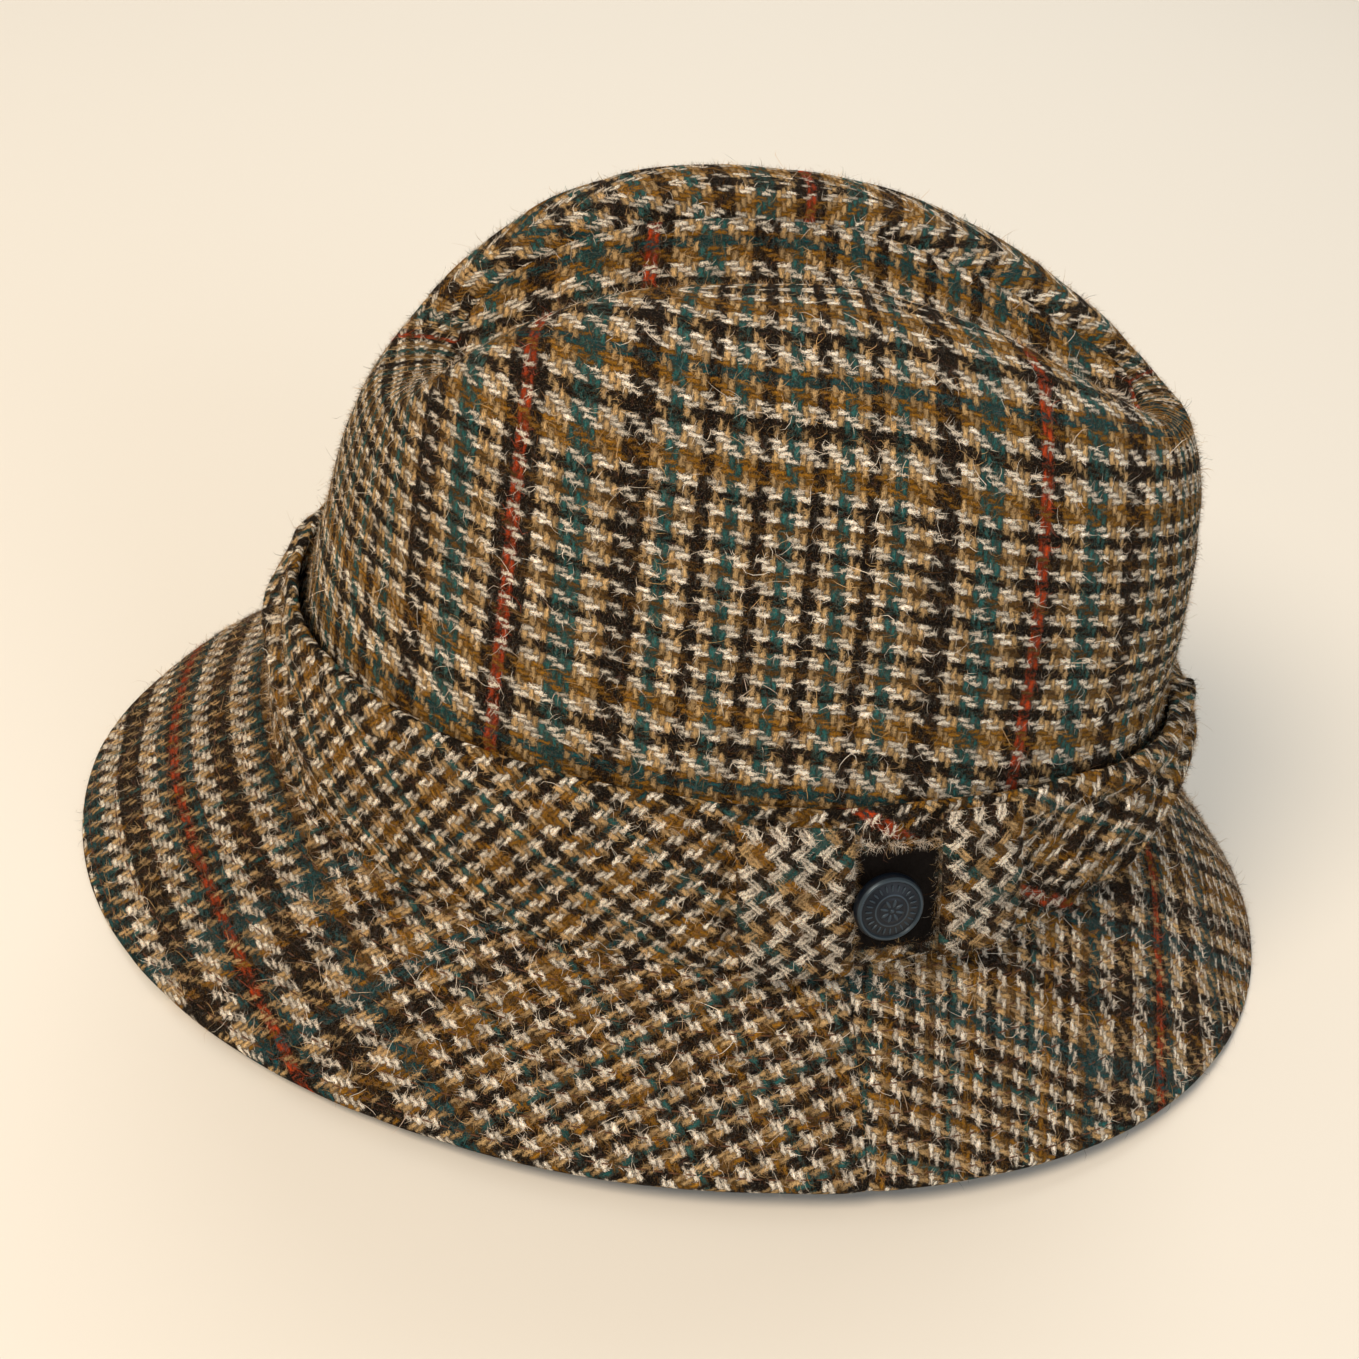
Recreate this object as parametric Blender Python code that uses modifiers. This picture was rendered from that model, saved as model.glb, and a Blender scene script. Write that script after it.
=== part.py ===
"""Tweed trilby with a soft centre dent, a turned-down brim and a flat side bow.

Metres, +Z up. The front of the hat looks along -Y and the wearer's left is +X. The origin is
under the middle of the brim, on the plane that the brim rests on. Run it with
blender --background --python part.py, or from Blender's text editor.
"""

import math

import bmesh
import bpy
from mathutils import Vector

# Crown, measured on its outer face
CROWN_HALF_WIDTH = 0.0826
CROWN_HALF_LENGTH = 0.1001
CROWN_HEIGHT = 0.1254
CROWN_OFFSET = 0.0013
CROWN_WALL = 0.0022
CROWN_LEAN = math.radians(3.6)

# Tip, the dented top piece between the two ridges
TIP_HALF_WIDTH = 0.0218
TIP_FRONT_LENGTH = 0.0760
TIP_BACK_LENGTH = 0.0808
TIP_SQUARENESS = 5.3
DENT_DEPTH = 0.020
MOUTH_DIP = 0.011

# Brim
BRIM_HALF_WIDTH = 0.1168
BRIM_HALF_LENGTH = 0.1462
BRIM_DROP = 0.0392
BRIM_SIDE_LIFT = 0.0075
BRIM_WALL = 0.003
BRIM_SEAM_ANGLE = math.radians(12.3)

# Band of folded cloth round the foot of the crown
BAND_WALL = 0.0026
BAND_HEIGHT = 0.0376
BAND_SEAT = 0.0005

# Bow, button and the dark patch behind the button
LOOP_WALL = 0.0048
FRONT_LOOP_WIDTH = 0.0235
REAR_LOOP_WIDTH = 0.018
BOW_ANGLE = math.radians(15.3)
BOW_LEAN = math.radians(11)
WINDOW_WIDTH = 0.0183
WINDOW_HEIGHT = 0.026
PATCH_WALL = 0.0012
BUTTON_RADIUS = 0.0073
BUTTON_OFFSET = -0.0034
BUTTON_RAISE = 0.525
BUTTON_HEIGHT = 0.0036
BUTTON_TILT = math.radians(16)
SHANK_RADIUS = 0.0022

# Fits
SEAM_GAP = 0.0003
COLUMNS = 60

# How each side of the crown comes in from its foot to the ridge: a straight taper, as a share of
# the whole, and the roundness of the rest
CROWN_PROFILES = {
    #        taper, roundness
    "front": (0.25, 4.0),
    "side": (0.126, 2.2),
    "back": (0.0, 2.0),
}

# How the ridge falls towards each end of the tip, as a share of the crown's height
RIDGE_FALLS = {
    #        fall, power
    "front": (0.213, 2.7),
    "back": (0.258, 1.7),
}

# How far the band stands off the crown, as shares of its height, and how far its top edge is
# raised, as a share of its height
BAND_SECTIONS = {
    #        top,  middle, lower, raised
    "front": (0.050, 0.090, 0.040, -0.10),
    "left": (0.010, 0.020, 0.008, 0.00),
    "back": (0.010, 0.230, 0.060, -0.38),
    "right": (0.030, 0.050, 0.020, 0.02),
}

# How narrowly the band's front and back shapes keep to the ends
BAND_BLEND = 4

# Rows of the crown's side, as shares of its height
CROWN_ROWS = (0.0, 0.10, 0.22, 0.34, 0.46, 0.57, 0.67, 0.76, 0.84, 0.91, 0.96, 0.99, 1.0)

# Rings of the tip, as shares of its outline
TIP_RINGS = (1.0, 0.93, 0.83, 0.71, 0.58, 0.44, 0.29, 0.14)

# Rows of the brim, as shares of the way from the crown to the edge
BRIM_ROWS = (0.0, 0.14, 0.30, 0.46, 0.62, 0.78, 0.91, 1.0)

# Rows of the band and of the bow's pieces, as shares of their height
BAND_ROWS = (0.0, 0.22, 0.5, 0.78, 1.0)

CLOTH_COLOUR = (0.20, 0.15, 0.09, 1.0)
PATCH_COLOUR = (0.012, 0.011, 0.013, 1.0)
BUTTON_COLOUR = (0.03, 0.04, 0.06, 1.0)


def side_name(angle):
    """Name the crown's end that an angle points to. 0 is the left side, 90 degrees the back."""
    return "back" if math.sin(angle) >= 0 else "front"


def inward_share(name, share):
    """Give how far one side of the crown has come in at a share of its height."""
    taper, roundness = CROWN_PROFILES[name]
    curve = 1 - (1 - share ** roundness) ** (1 / roundness)
    return taper * share + (1 - taper) * curve


def seat_height(y):
    """Give the height of the plane where crown, band and brim meet, which rises to the back."""
    return BRIM_DROP + math.tan(CROWN_LEAN) * y


def tip_length(y):
    """Give the tip's half length on the side of the middle that y lies on."""
    return TIP_BACK_LENGTH if y > 0 else TIP_FRONT_LENGTH


def tip_outline(angle, gap=0.0):
    """Give one point of the tip's outline, seen from above, with its centre at the crown's."""
    power = (abs(math.cos(angle)) ** TIP_SQUARENESS + abs(math.sin(angle)) ** TIP_SQUARENESS)
    reach = power ** (-1 / TIP_SQUARENESS)
    return ((TIP_HALF_WIDTH - gap) * reach * math.cos(angle),
            (tip_length(math.sin(angle)) - gap) * reach * math.sin(angle))


def tip_rise(x, y):
    """Give the height of the tip's outer face over the seat plane, dent and front mouth cut in."""
    along = max(-1.0, min(1.0, y / tip_length(y)))
    fall, power = RIDGE_FALLS["back" if along > 0 else "front"]
    ridge = CROWN_HEIGHT * (1 - fall * abs(along) ** power)
    half_width = TIP_HALF_WIDTH * max(1 - abs(along) ** TIP_SQUARENESS, 1e-9) ** (1 / TIP_SQUARENESS)
    across = min(abs(x) / max(half_width, 1e-6), 1.0)
    dent = DENT_DEPTH * (1 - abs(along) ** 6) * (1 - across ** 1.7)
    mouth = min(max((-along - 0.62) / 0.38, 0.0), 1.0)
    centre = max(1 - (x / TIP_HALF_WIDTH) ** 2, 0.0)
    return ridge - dent - MOUTH_DIP * mouth ** 1.5 * centre


def crown_point(angle, share):
    """Give one point of the crown's outer side face."""
    foot_x = CROWN_HALF_WIDTH * math.cos(angle)
    foot_y = CROWN_HALF_LENGTH * math.sin(angle)
    top_x, top_y = tip_outline(angle)
    x = foot_x + (top_x - foot_x) * inward_share("side", share)
    y = foot_y + (top_y - foot_y) * inward_share(side_name(angle), share)
    z = seat_height(y) + tip_rise(top_x, top_y) * share
    return Vector((x, y + CROWN_OFFSET, z))


def surface_normal(surface, angle, share):
    """Give the outward unit normal of a surface(angle, share) whose shares run upwards."""
    step = 0.004
    low, high = max(share - step, 0.0), min(share + step, 1.0)
    along = surface(angle + step, share) - surface(angle - step, share)
    up = surface(angle, high) - surface(angle, low)
    return along.cross(up).normalized()


def brim_edge_height(angle):
    """Give the height of the brim's edge: flat at the front and back, lifted at the sides."""
    reach = max(abs(math.cos(angle)) - 0.34, 0.0) / 0.66
    return BRIM_SIDE_LIFT * reach ** 1.3


def brim_point(angle, share, inset=0.0):
    """Give one point of the brim's upper face, from the crown at 0 to the edge at 1."""
    foot_x = (CROWN_HALF_WIDTH + SEAM_GAP) * math.cos(angle)
    foot_y = (CROWN_HALF_LENGTH + SEAM_GAP) * math.sin(angle) + CROWN_OFFSET
    edge_x = (BRIM_HALF_WIDTH - inset) * math.cos(angle)
    edge_y = (BRIM_HALF_LENGTH - inset) * math.sin(angle)
    x = foot_x + (edge_x - foot_x) * share
    y = foot_y + (edge_y - foot_y) * share
    top = seat_height(foot_y)
    slope = 0.82 * share + 0.18 * share ** 2
    return Vector((x, y, top + (brim_edge_height(angle) - top) * slope))


def blend_sections(angle, table):
    """Blend a table's front, left, back and right rows by direction."""
    ahead = math.sin(angle) ** BAND_BLEND
    end = table[side_name(angle)]
    flank = table["left" if math.cos(angle) >= 0 else "right"]
    return [e * ahead + f * (1 - ahead) for e, f in zip(end, flank)]


def crown_share_at(angle, height):
    """Find the share of the crown's side face that lies at one height over the seat plane."""
    top_x, top_y = tip_outline(angle)
    return height / tip_rise(top_x, top_y)


def band_point(angle, share, out):
    """Give one point of the band: share up its height, out from its inner face."""
    top, middle, lower, raised = blend_sections(angle, BAND_SECTIONS)
    height = BAND_HEIGHT * (1 + raised)
    bulge = 4 * share * (1 - share)
    stand = BAND_HEIGHT * (lower + (top - lower) * share + (middle - (top + lower) / 2) * bulge)
    face = crown_point(angle, crown_share_at(angle, height * share))
    normal = surface_normal(crown_point, angle, crown_share_at(angle, height * share))
    level = Vector((normal.x, normal.y, 0)).normalized()
    return face + level * (BAND_SEAT + stand + out) + Vector((0, 0, BAND_SEAT))


def make_object(name, mesh_data, colour, roughness, metallic, collection):
    """Turn a bmesh into a named object with a material of its own."""
    bmesh.ops.recalc_face_normals(mesh_data, faces=mesh_data.faces)
    mesh = bpy.data.meshes.new(name)
    mesh_data.to_mesh(mesh)
    mesh_data.free()
    for polygon in mesh.polygons:
        polygon.use_smooth = True
    mesh.set_sharp_from_angle(angle=math.radians(40))
    material = bpy.data.materials.new(name)
    material.use_nodes = True
    shader = material.node_tree.nodes["Principled BSDF"]
    shader.inputs["Base Color"].default_value = colour
    shader.inputs["Roughness"].default_value = roughness
    shader.inputs["Metallic"].default_value = metallic
    mesh.materials.append(material)
    item = bpy.data.objects.new(name, mesh)
    collection.objects.link(item)
    return item


def sweep(sections, closed):
    """Join closed sections of equal length into one body, with end caps where it is open."""
    body = bmesh.new()
    loops = [[body.verts.new(point) for point in section] for section in sections]
    count = len(loops[0])
    pairs = list(zip(loops, loops[1:])) + ([(loops[-1], loops[0])] if closed else [])
    for first, second in pairs:
        for i in range(count):
            j = (i + 1) % count
            body.faces.new((first[i], first[j], second[j], second[i]))
    if not closed:
        body.faces.new(loops[0])
        body.faces.new(list(reversed(loops[-1])))
    return body


def ring_angles(count=COLUMNS):
    """List the angles of a full turn."""
    return [2 * math.pi * i / count for i in range(count)]


def arc_angles(start, end, count):
    """List evenly spaced angles from start to end, both included."""
    return [start + (end - start) * i / (count - 1) for i in range(count)]


def rim_drop():
    """Give how deep the straight joint between crown side and tip is."""
    return CROWN_WALL * 1.25


def make_crown_side(collection):
    """Make the side of the crown, one wall from the brim up to the ridges."""
    sections = []
    for angle in ring_angles():
        outer = [crown_point(angle, share) for share in CROWN_ROWS]
        inner = []
        for share, point in zip(CROWN_ROWS, outer):
            normal = surface_normal(crown_point, angle, min(share, 0.97))
            inner.append(point - normal * CROWN_WALL)
        inner[-1] = outer[-1] - Vector((0, 0, rim_drop()))
        foot = surface_normal(crown_point, angle, 0.02)
        level = Vector((foot.x, foot.y, 0)).normalized()
        inner[0] = outer[0] - level * CROWN_WALL
        sections.append(outer + inner[::-1])
    return make_object("crown_side", sweep(sections, True), CLOTH_COLOUR, 0.95, 0.0, collection)


def make_crown_tip(collection):
    """Make the dented top piece, sewn in between the ridges."""
    body = bmesh.new()
    angles = ring_angles()

    def grid_point(angle, reach):
        x, y = tip_outline(angle, SEAM_GAP)
        x, y = x * reach, y * reach
        return Vector((x, y + CROWN_OFFSET, seat_height(y) + tip_rise(x, y)))

    upper = [[body.verts.new(grid_point(a, r)) for a in angles] for r in TIP_RINGS]
    drop = Vector((0, 0, rim_drop()))
    lower = [[body.verts.new(vert.co - drop) for vert in ring] for ring in upper]
    heart = grid_point(0, 0)
    upper_heart = body.verts.new(heart)
    lower_heart = body.verts.new(heart - drop)
    count = len(angles)
    for grid in (upper, lower):
        for first, second in zip(grid, grid[1:]):
            for i in range(count):
                j = (i + 1) % count
                body.faces.new((first[i], first[j], second[j], second[i]))
    for i in range(count):
        j = (i + 1) % count
        body.faces.new((upper[0][i], upper[0][j], lower[0][j], lower[0][i]))
        body.faces.new((upper[-1][i], upper[-1][j], upper_heart))
        body.faces.new((lower[-1][i], lower[-1][j], lower_heart))
    return make_object("crown_tip", body, CLOTH_COLOUR, 0.95, 0.0, collection)


def make_brim_piece(name, start, end, collection):
    """Make the front or back half of the brim, from one side seam to the other."""
    trim = SEAM_GAP / (2 * BRIM_HALF_WIDTH * math.cos(BRIM_SEAM_ANGLE))
    foot_trim = SEAM_GAP / (2 * CROWN_HALF_WIDTH * math.cos(BRIM_SEAM_ANGLE))
    gap = max(trim, foot_trim) * 1.3
    sections = []
    for angle in arc_angles(start + gap, end - gap, COLUMNS // 2 + 1):
        upper = [brim_point(angle, share) for share in BRIM_ROWS]
        under = []
        for share, point in zip(BRIM_ROWS, upper):
            normal = surface_normal(brim_point, angle, share)
            if normal.z < 0:
                normal = -normal
            under.append(point - normal * BRIM_WALL)
        under[0] = upper[0] - Vector((0, 0, BRIM_WALL * 1.2))
        under[-1] = brim_point(angle, 1.0, inset=BRIM_WALL)
        under[-1].z = upper[-1].z
        sections.append(upper + under[::-1])
    return make_object(name, sweep(sections, False), CLOTH_COLOUR, 0.95, 0.0, collection)


def make_band(collection):
    """Make the band that stands round the foot of the crown."""
    sections = []
    for angle in ring_angles():
        inner = [band_point(angle, share, 0.0) for share in BAND_ROWS]
        outer = [band_point(angle, share, BAND_WALL) for share in BAND_ROWS]
        sections.append(outer + inner[::-1])
    return make_object("band", sweep(sections, True), CLOTH_COLOUR, 0.95, 0.0, collection)


def bow_angle(along):
    """Give the angle on the band that lies a distance behind the bow's middle."""
    steps = 24
    angle = BOW_ANGLE
    for _ in range(steps):
        here = band_point(angle, 0.5, BAND_WALL)
        there = band_point(angle + 0.01, 0.5, BAND_WALL)
        angle += along / steps * 0.01 / (there - here).length
    return angle


def bow_point(along, share, out):
    """Give one point of the leaning bow: along the band, up its height, out from its face."""
    lean = math.tan(BOW_LEAN) * (0.5 - share) * BAND_HEIGHT
    return band_point(bow_angle(along + lean), share, BAND_WALL + SEAM_GAP + out)


def make_loop(name, start, end, low, high, wall, collection):
    """Make one flat padded piece of the bow, lying on the band, between two distances along it."""
    rows = 9
    columns = 7
    sections = []
    for column in range(columns):
        across = column / (columns - 1)
        along = start + (end - start) * across
        swell = 1 - abs(2 * across - 1) ** 4
        outer, inner = [], []
        for row in range(rows):
            up = row / (rows - 1)
            share = low + (high - low) * up
            round_off = 1 - abs(2 * up - 1) ** 6
            depth = wall * (0.45 + 0.35 * swell + 0.20 * round_off * swell)
            outer.append(bow_point(along, share, depth))
            inner.append(bow_point(along, share, 0.0))
        sections.append(outer + inner[::-1])
    return make_object(name, sweep(sections, False), CLOTH_COLOUR, 0.95, 0.0, collection)


def make_patch(collection):
    """Make the dark patch on the band that the button sits on."""
    margin = (1 - WINDOW_HEIGHT / BAND_HEIGHT) / 2
    half = WINDOW_WIDTH / 2 - SEAM_GAP
    sections = []
    for along in (-half, -half / 2, 0.0, half / 2, half):
        rows = [margin + (1 - 2 * margin) * i / 4 for i in range(5)]
        outer = [bow_point(along, share, PATCH_WALL) for share in rows]
        inner = [bow_point(along, share, 0.0) for share in rows]
        sections.append(outer + inner[::-1])
    return make_object("bow_patch", sweep(sections, False), PATCH_COLOUR, 0.9, 0.0, collection)


def make_button(collection):
    """Turn the domed metal button with its shank, facing out of the bow's window."""
    seat = bow_point(BUTTON_OFFSET, BUTTON_RAISE, PATCH_WALL + SEAM_GAP)
    outward = seat - bow_point(BUTTON_OFFSET, BUTTON_RAISE, 0.0)
    level = Vector((outward.x, outward.y, 0)).normalized()
    clear = math.sin(BUTTON_TILT) * BUTTON_RADIUS
    axis = (level * math.cos(BUTTON_TILT) + Vector((0, 0, math.sin(BUTTON_TILT)))).normalized()
    shank = clear + SEAM_GAP
    radius, height = BUTTON_RADIUS, BUTTON_HEIGHT
    profile = [
        (0.0, shank + height),
        (radius * 0.55, shank + height * 0.93),
        (radius * 0.80, shank + height * 0.78),
        (radius * 0.86, shank + height * 0.84),
        (radius * 0.96, shank + height * 0.70),
        (radius, shank + height * 0.40),
        (radius * 0.92, shank + height * 0.08),
        (radius * 0.80, shank),
        (SHANK_RADIUS, shank),
        (SHANK_RADIUS, 0.0),
        (0.0, 0.0),
    ]
    mesh = bpy.data.meshes.new("button")
    edges = [(i, i + 1) for i in range(len(profile) - 1)]
    mesh.from_pydata([(x, 0, z) for x, z in profile], edges, [])
    material = bpy.data.materials.new("button")
    material.use_nodes = True
    shader = material.node_tree.nodes["Principled BSDF"]
    shader.inputs["Base Color"].default_value = BUTTON_COLOUR
    shader.inputs["Roughness"].default_value = 0.35
    shader.inputs["Metallic"].default_value = 0.9
    mesh.materials.append(material)
    item = bpy.data.objects.new("button", mesh)
    collection.objects.link(item)
    turn = item.modifiers.new("turn", "SCREW")
    turn.steps = turn.render_steps = 20
    turn.use_merge_vertices = True
    turn.merge_threshold = 0.00001
    turn.use_smooth_shade = True
    item.rotation_mode = "QUATERNION"
    item.rotation_quaternion = Vector((0, 0, 1)).rotation_difference(axis)
    item.location = seat
    return item


def main():
    """Build the hat."""
    for item in list(bpy.data.objects):
        bpy.data.objects.remove(item, do_unlink=True)
    hat = bpy.data.collections.new("tweed_hat")
    bpy.context.scene.collection.children.link(hat)
    make_crown_side(hat)
    make_crown_tip(hat)
    left, right = BRIM_SEAM_ANGLE, math.pi - BRIM_SEAM_ANGLE
    make_brim_piece("brim_front", right, left + 2 * math.pi, hat)
    make_brim_piece("brim_back", left, right, hat)
    make_band(hat)
    half = WINDOW_WIDTH / 2
    make_loop("bow_loop_front", -half - FRONT_LOOP_WIDTH, -half, 0.01, 0.99, LOOP_WALL, hat)
    make_loop("bow_loop_rear", half, half + REAR_LOOP_WIDTH, 0.06, 1.04, LOOP_WALL, hat)
    make_patch(hat)
    make_button(hat)


main()
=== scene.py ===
"""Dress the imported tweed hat: woven cloth, folds, loose fibres, stitching, button and light."""

import logging
import math
from dataclasses import dataclass, field
from enum import Enum
from typing import Optional, Sequence

import bpy
import numpy as np
from mathutils import Matrix, Vector


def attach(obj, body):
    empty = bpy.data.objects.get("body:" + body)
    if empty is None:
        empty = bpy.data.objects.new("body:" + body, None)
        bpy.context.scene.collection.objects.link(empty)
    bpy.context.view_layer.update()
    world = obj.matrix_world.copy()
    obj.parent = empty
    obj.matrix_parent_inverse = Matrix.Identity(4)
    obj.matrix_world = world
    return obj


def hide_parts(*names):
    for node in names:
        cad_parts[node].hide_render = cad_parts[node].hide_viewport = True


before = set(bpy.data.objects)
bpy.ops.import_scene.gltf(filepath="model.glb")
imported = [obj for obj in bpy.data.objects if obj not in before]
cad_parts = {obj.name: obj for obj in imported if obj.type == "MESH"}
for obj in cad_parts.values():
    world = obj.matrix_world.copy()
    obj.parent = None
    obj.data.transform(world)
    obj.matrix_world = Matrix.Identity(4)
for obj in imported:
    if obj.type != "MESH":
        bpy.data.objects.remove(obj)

LOG = logging.getLogger("tweed_hat")
MM = 0.001
FULL_TURN = 2 * math.pi
CLOTH_MAP = "cloth"


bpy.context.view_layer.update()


def linear(colour: str, alpha: float = 1.0) -> tuple[float, float, float, float]:
    """Turn an sRGB hex colour into Blender's linear colour.

    Args:
        colour: Six hex digits after a hash sign.
        alpha: The fourth value.

    Returns:
        Red, green, blue and alpha, as shares of one.
    """
    shares = [int(colour[i:i + 2], 16) / 255 for i in (1, 3, 5)]
    curve = [s / 12.92 if s <= 0.04045 else ((s + 0.055) / 1.055) ** 2.4 for s in shares]
    return curve[0], curve[1], curve[2], alpha


class Yarn(Enum):
    """The tweed's yarn colours, as dyed. Each is a mixture of wools, so none is quite even."""

    BLACK = "#0B0706"
    CREAM = "#FFF6E4"
    OAT = "#CCAA76"
    TEAL = "#0A4C52"
    SLATE = "#22605F"
    RUST = "#B03C14"
    OCHRE = "#94671A"
    BROWN = "#66491F"


YARN_LETTERS = {"K": Yarn.BLACK, "C": Yarn.CREAM, "A": Yarn.OAT, "T": Yarn.TEAL, "S": Yarn.SLATE,
                "R": Yarn.RUST, "O": Yarn.OCHRE, "B": Yarn.BROWN}


def runs(text: str) -> list[tuple[Yarn, int]]:
    """Read a weaver's chart such as "K4 C2" into yarns and how many threads of each."""
    return [(YARN_LETTERS[word[0]], int(word[1:])) for word in text.split()]


@dataclass(frozen=True)
class CrownForm:
    """The crown's outer face: an oval foot drawn in to a long, dented tip."""

    half_width: float = 0.0826
    half_length: float = 0.1001
    height: float = 0.1254
    offset: float = 0.0013
    wall: float = 0.0022
    lean: float = math.radians(3.6)
    seat_drop: float = 0.0392
    tip_half_width: float = 0.0218
    tip_front: float = 0.0760
    tip_back: float = 0.0808
    tip_squareness: float = 5.3
    dent: float = 0.020
    mouth: float = 0.011
    front_profile: tuple[float, float] = (0.25, 4.0)
    side_profile: tuple[float, float] = (0.126, 2.2)
    back_profile: tuple[float, float] = (0.0, 2.0)
    front_fall: tuple[float, float] = (0.213, 2.7)
    back_fall: tuple[float, float] = (0.258, 1.7)

    def seat(self, y: np.ndarray) -> np.ndarray:
        """Give the height of the plane where crown, band and brim meet."""
        return self.seat_drop + math.tan(self.lean) * y

    def outline(self, angle: np.ndarray) -> tuple[np.ndarray, np.ndarray]:
        """Give the tip's outline seen from above, where angle 0 is the left side."""
        c, s = np.cos(angle), np.sin(angle)
        power = self.tip_squareness
        reach = (np.abs(c) ** power + np.abs(s) ** power) ** (-1 / power)
        length = np.where(s >= 0, self.tip_back, self.tip_front)
        return self.tip_half_width * reach * c, length * reach * s

    def rise(self, x: np.ndarray, y: np.ndarray) -> np.ndarray:
        """Give the height of the tip over the seat plane, with its dent and open front."""
        length = np.where(y > 0, self.tip_back, self.tip_front)
        along = np.clip(y / length, -1, 1)
        fall = np.where(along > 0, self.back_fall[0], self.front_fall[0])
        power = np.where(along > 0, self.back_fall[1], self.front_fall[1])
        ridge = self.height * (1 - fall * np.abs(along) ** power)
        square = self.tip_squareness
        half = self.tip_half_width * np.maximum(1 - np.abs(along) ** square, 1e-9) ** (1 / square)
        across = np.minimum(np.abs(x) / np.maximum(half, 1e-6), 1)
        dent = self.dent * (1 - along ** 6) * (1 - across ** 1.7)
        opening = np.clip((-along - 0.62) / 0.38, 0, 1) ** 1.5
        middle = np.maximum(1 - (x / self.tip_half_width) ** 2, 0)
        return ridge - dent - self.mouth * opening * middle

    def side(self, angle: np.ndarray, share: np.ndarray) -> np.ndarray:
        """Give points of the outer side face, from the foot at share 0 to the ridge at share 1."""

        def inward(profile: tuple[float, float]) -> np.ndarray:
            """Give how far the face has come in at each share of its height."""
            taper, roundness = profile
            return taper * share + (1 - taper) * (1 - (1 - share ** roundness) ** (1 / roundness))

        c, s = np.cos(angle), np.sin(angle)
        top_x, top_y = self.outline(angle)
        ends = np.where(s >= 0, inward(self.back_profile), inward(self.front_profile))
        x = self.half_width * c + (top_x - self.half_width * c) * inward(self.side_profile)
        y = self.half_length * s + (top_y - self.half_length * s) * ends
        z = self.seat(y) + self.rise(top_x, top_y) * share
        return np.stack([x, y + self.offset, z], -1)

    def tip(self, angle: np.ndarray, reach: np.ndarray, inset: float = 0.0) -> np.ndarray:
        """Give points of the tip: its outline less an inset, drawn in to a share of its size."""
        x, y = self.outline(angle)
        x = x * (1 - inset / self.tip_half_width) * reach
        y = y * (1 - inset / self.tip_front) * reach
        return np.stack([x, y + self.offset, self.seat(y) + self.rise(x, y)], -1)

    def side_normal(self, angle: np.ndarray, share: np.ndarray) -> np.ndarray:
        """Give the outward unit normals of the side face."""
        step = 0.004
        along = self.side(angle + step, share) - self.side(angle - step, share)
        up = (self.side(angle, np.minimum(share + step, 1))
              - self.side(angle, np.maximum(share - step, 0)))
        return unit(np.cross(along, up))


@dataclass(frozen=True)
class BrimForm:
    """The turned-down brim's upper face."""

    crown: CrownForm
    gap: float = 0.0003
    half_width: float = 0.1168
    half_length: float = 0.1462
    side_lift: float = 0.0075
    wall: float = 0.003
    seam: float = math.radians(12.3)

    def face(self, angle: np.ndarray, share: np.ndarray) -> np.ndarray:
        """Give points of the upper face, from the crown at share 0 to the edge at share 1."""
        c, s = np.cos(angle), np.sin(angle)
        foot_x = (self.crown.half_width + self.gap) * c
        foot_y = (self.crown.half_length + self.gap) * s + self.crown.offset
        x = foot_x + (self.half_width * c - foot_x) * share
        y = foot_y + (self.half_length * s - foot_y) * share
        top = self.crown.seat(foot_y)
        edge = self.side_lift * (np.maximum(np.abs(c) - 0.34, 0) / 0.66) ** 1.3
        return np.stack([x, y, top + (edge - top) * (0.82 * share + 0.18 * share ** 2)], -1)


@dataclass(frozen=True)
class BandForm:
    """The band of folded cloth round the foot of the crown, and the bow that lies on it."""

    crown: CrownForm
    wall: float = 0.0026
    height: float = 0.0376
    seat: float = 0.0005
    gap: float = 0.0003
    blend: int = 4
    front: tuple[float, ...] = (0.050, 0.090, 0.040, -0.10)
    left: tuple[float, ...] = (0.010, 0.020, 0.008, 0.00)
    back: tuple[float, ...] = (0.010, 0.230, 0.060, -0.38)
    right: tuple[float, ...] = (0.030, 0.050, 0.020, 0.02)
    bow_angle: float = math.radians(15.3)
    bow_lean: float = math.radians(11)

    def point(self, angle: np.ndarray, share: np.ndarray, out: np.ndarray) -> np.ndarray:
        """Give points of the band: share up its height, out from its inner face."""
        ahead = np.sin(angle) ** self.blend
        back, left = np.sin(angle) >= 0, np.cos(angle) >= 0
        mixed = [np.where(back, b, f) * ahead + np.where(left, le, r) * (1 - ahead)
                 for f, le, b, r in zip(self.front, self.left, self.back, self.right)]
        top, middle, lower, raised = mixed
        bulge = 4 * share * (1 - share)
        stand = self.height * (lower + (top - lower) * share + (middle - (top + lower) / 2) * bulge)
        level = self.height * (1 + raised) * share / self.crown.rise(*self.crown.outline(angle))
        normal = self.crown.side_normal(angle, level)
        flat = unit(normal * np.array([1.0, 1.0, 0.0]))
        away = (self.seat + stand + out)[..., None]
        return self.crown.side(angle, level) + flat * away + np.array([0, 0, self.seat])

    def angle_at(self, along: np.ndarray) -> np.ndarray:
        """Give the angle at a distance along the band behind the bow's middle."""
        angles = np.linspace(self.bow_angle - 1.2, self.bow_angle + 1.2, 1201)
        line = self.point(angles, np.full_like(angles, 0.5), np.full_like(angles, self.wall))
        length = np.concatenate([[0], np.cumsum(np.linalg.norm(np.diff(line, axis=0), axis=1))])
        return np.interp(along, length - length[600], angles)

    def bow(self, along: np.ndarray, share: np.ndarray, out: np.ndarray) -> np.ndarray:
        """Give points of the leaning bow: along the band, up its height, out from its face."""
        lean = math.tan(self.bow_lean) * (0.5 - share) * self.height
        return self.point(self.angle_at(along + lean), share, self.wall + self.gap + out)


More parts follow.
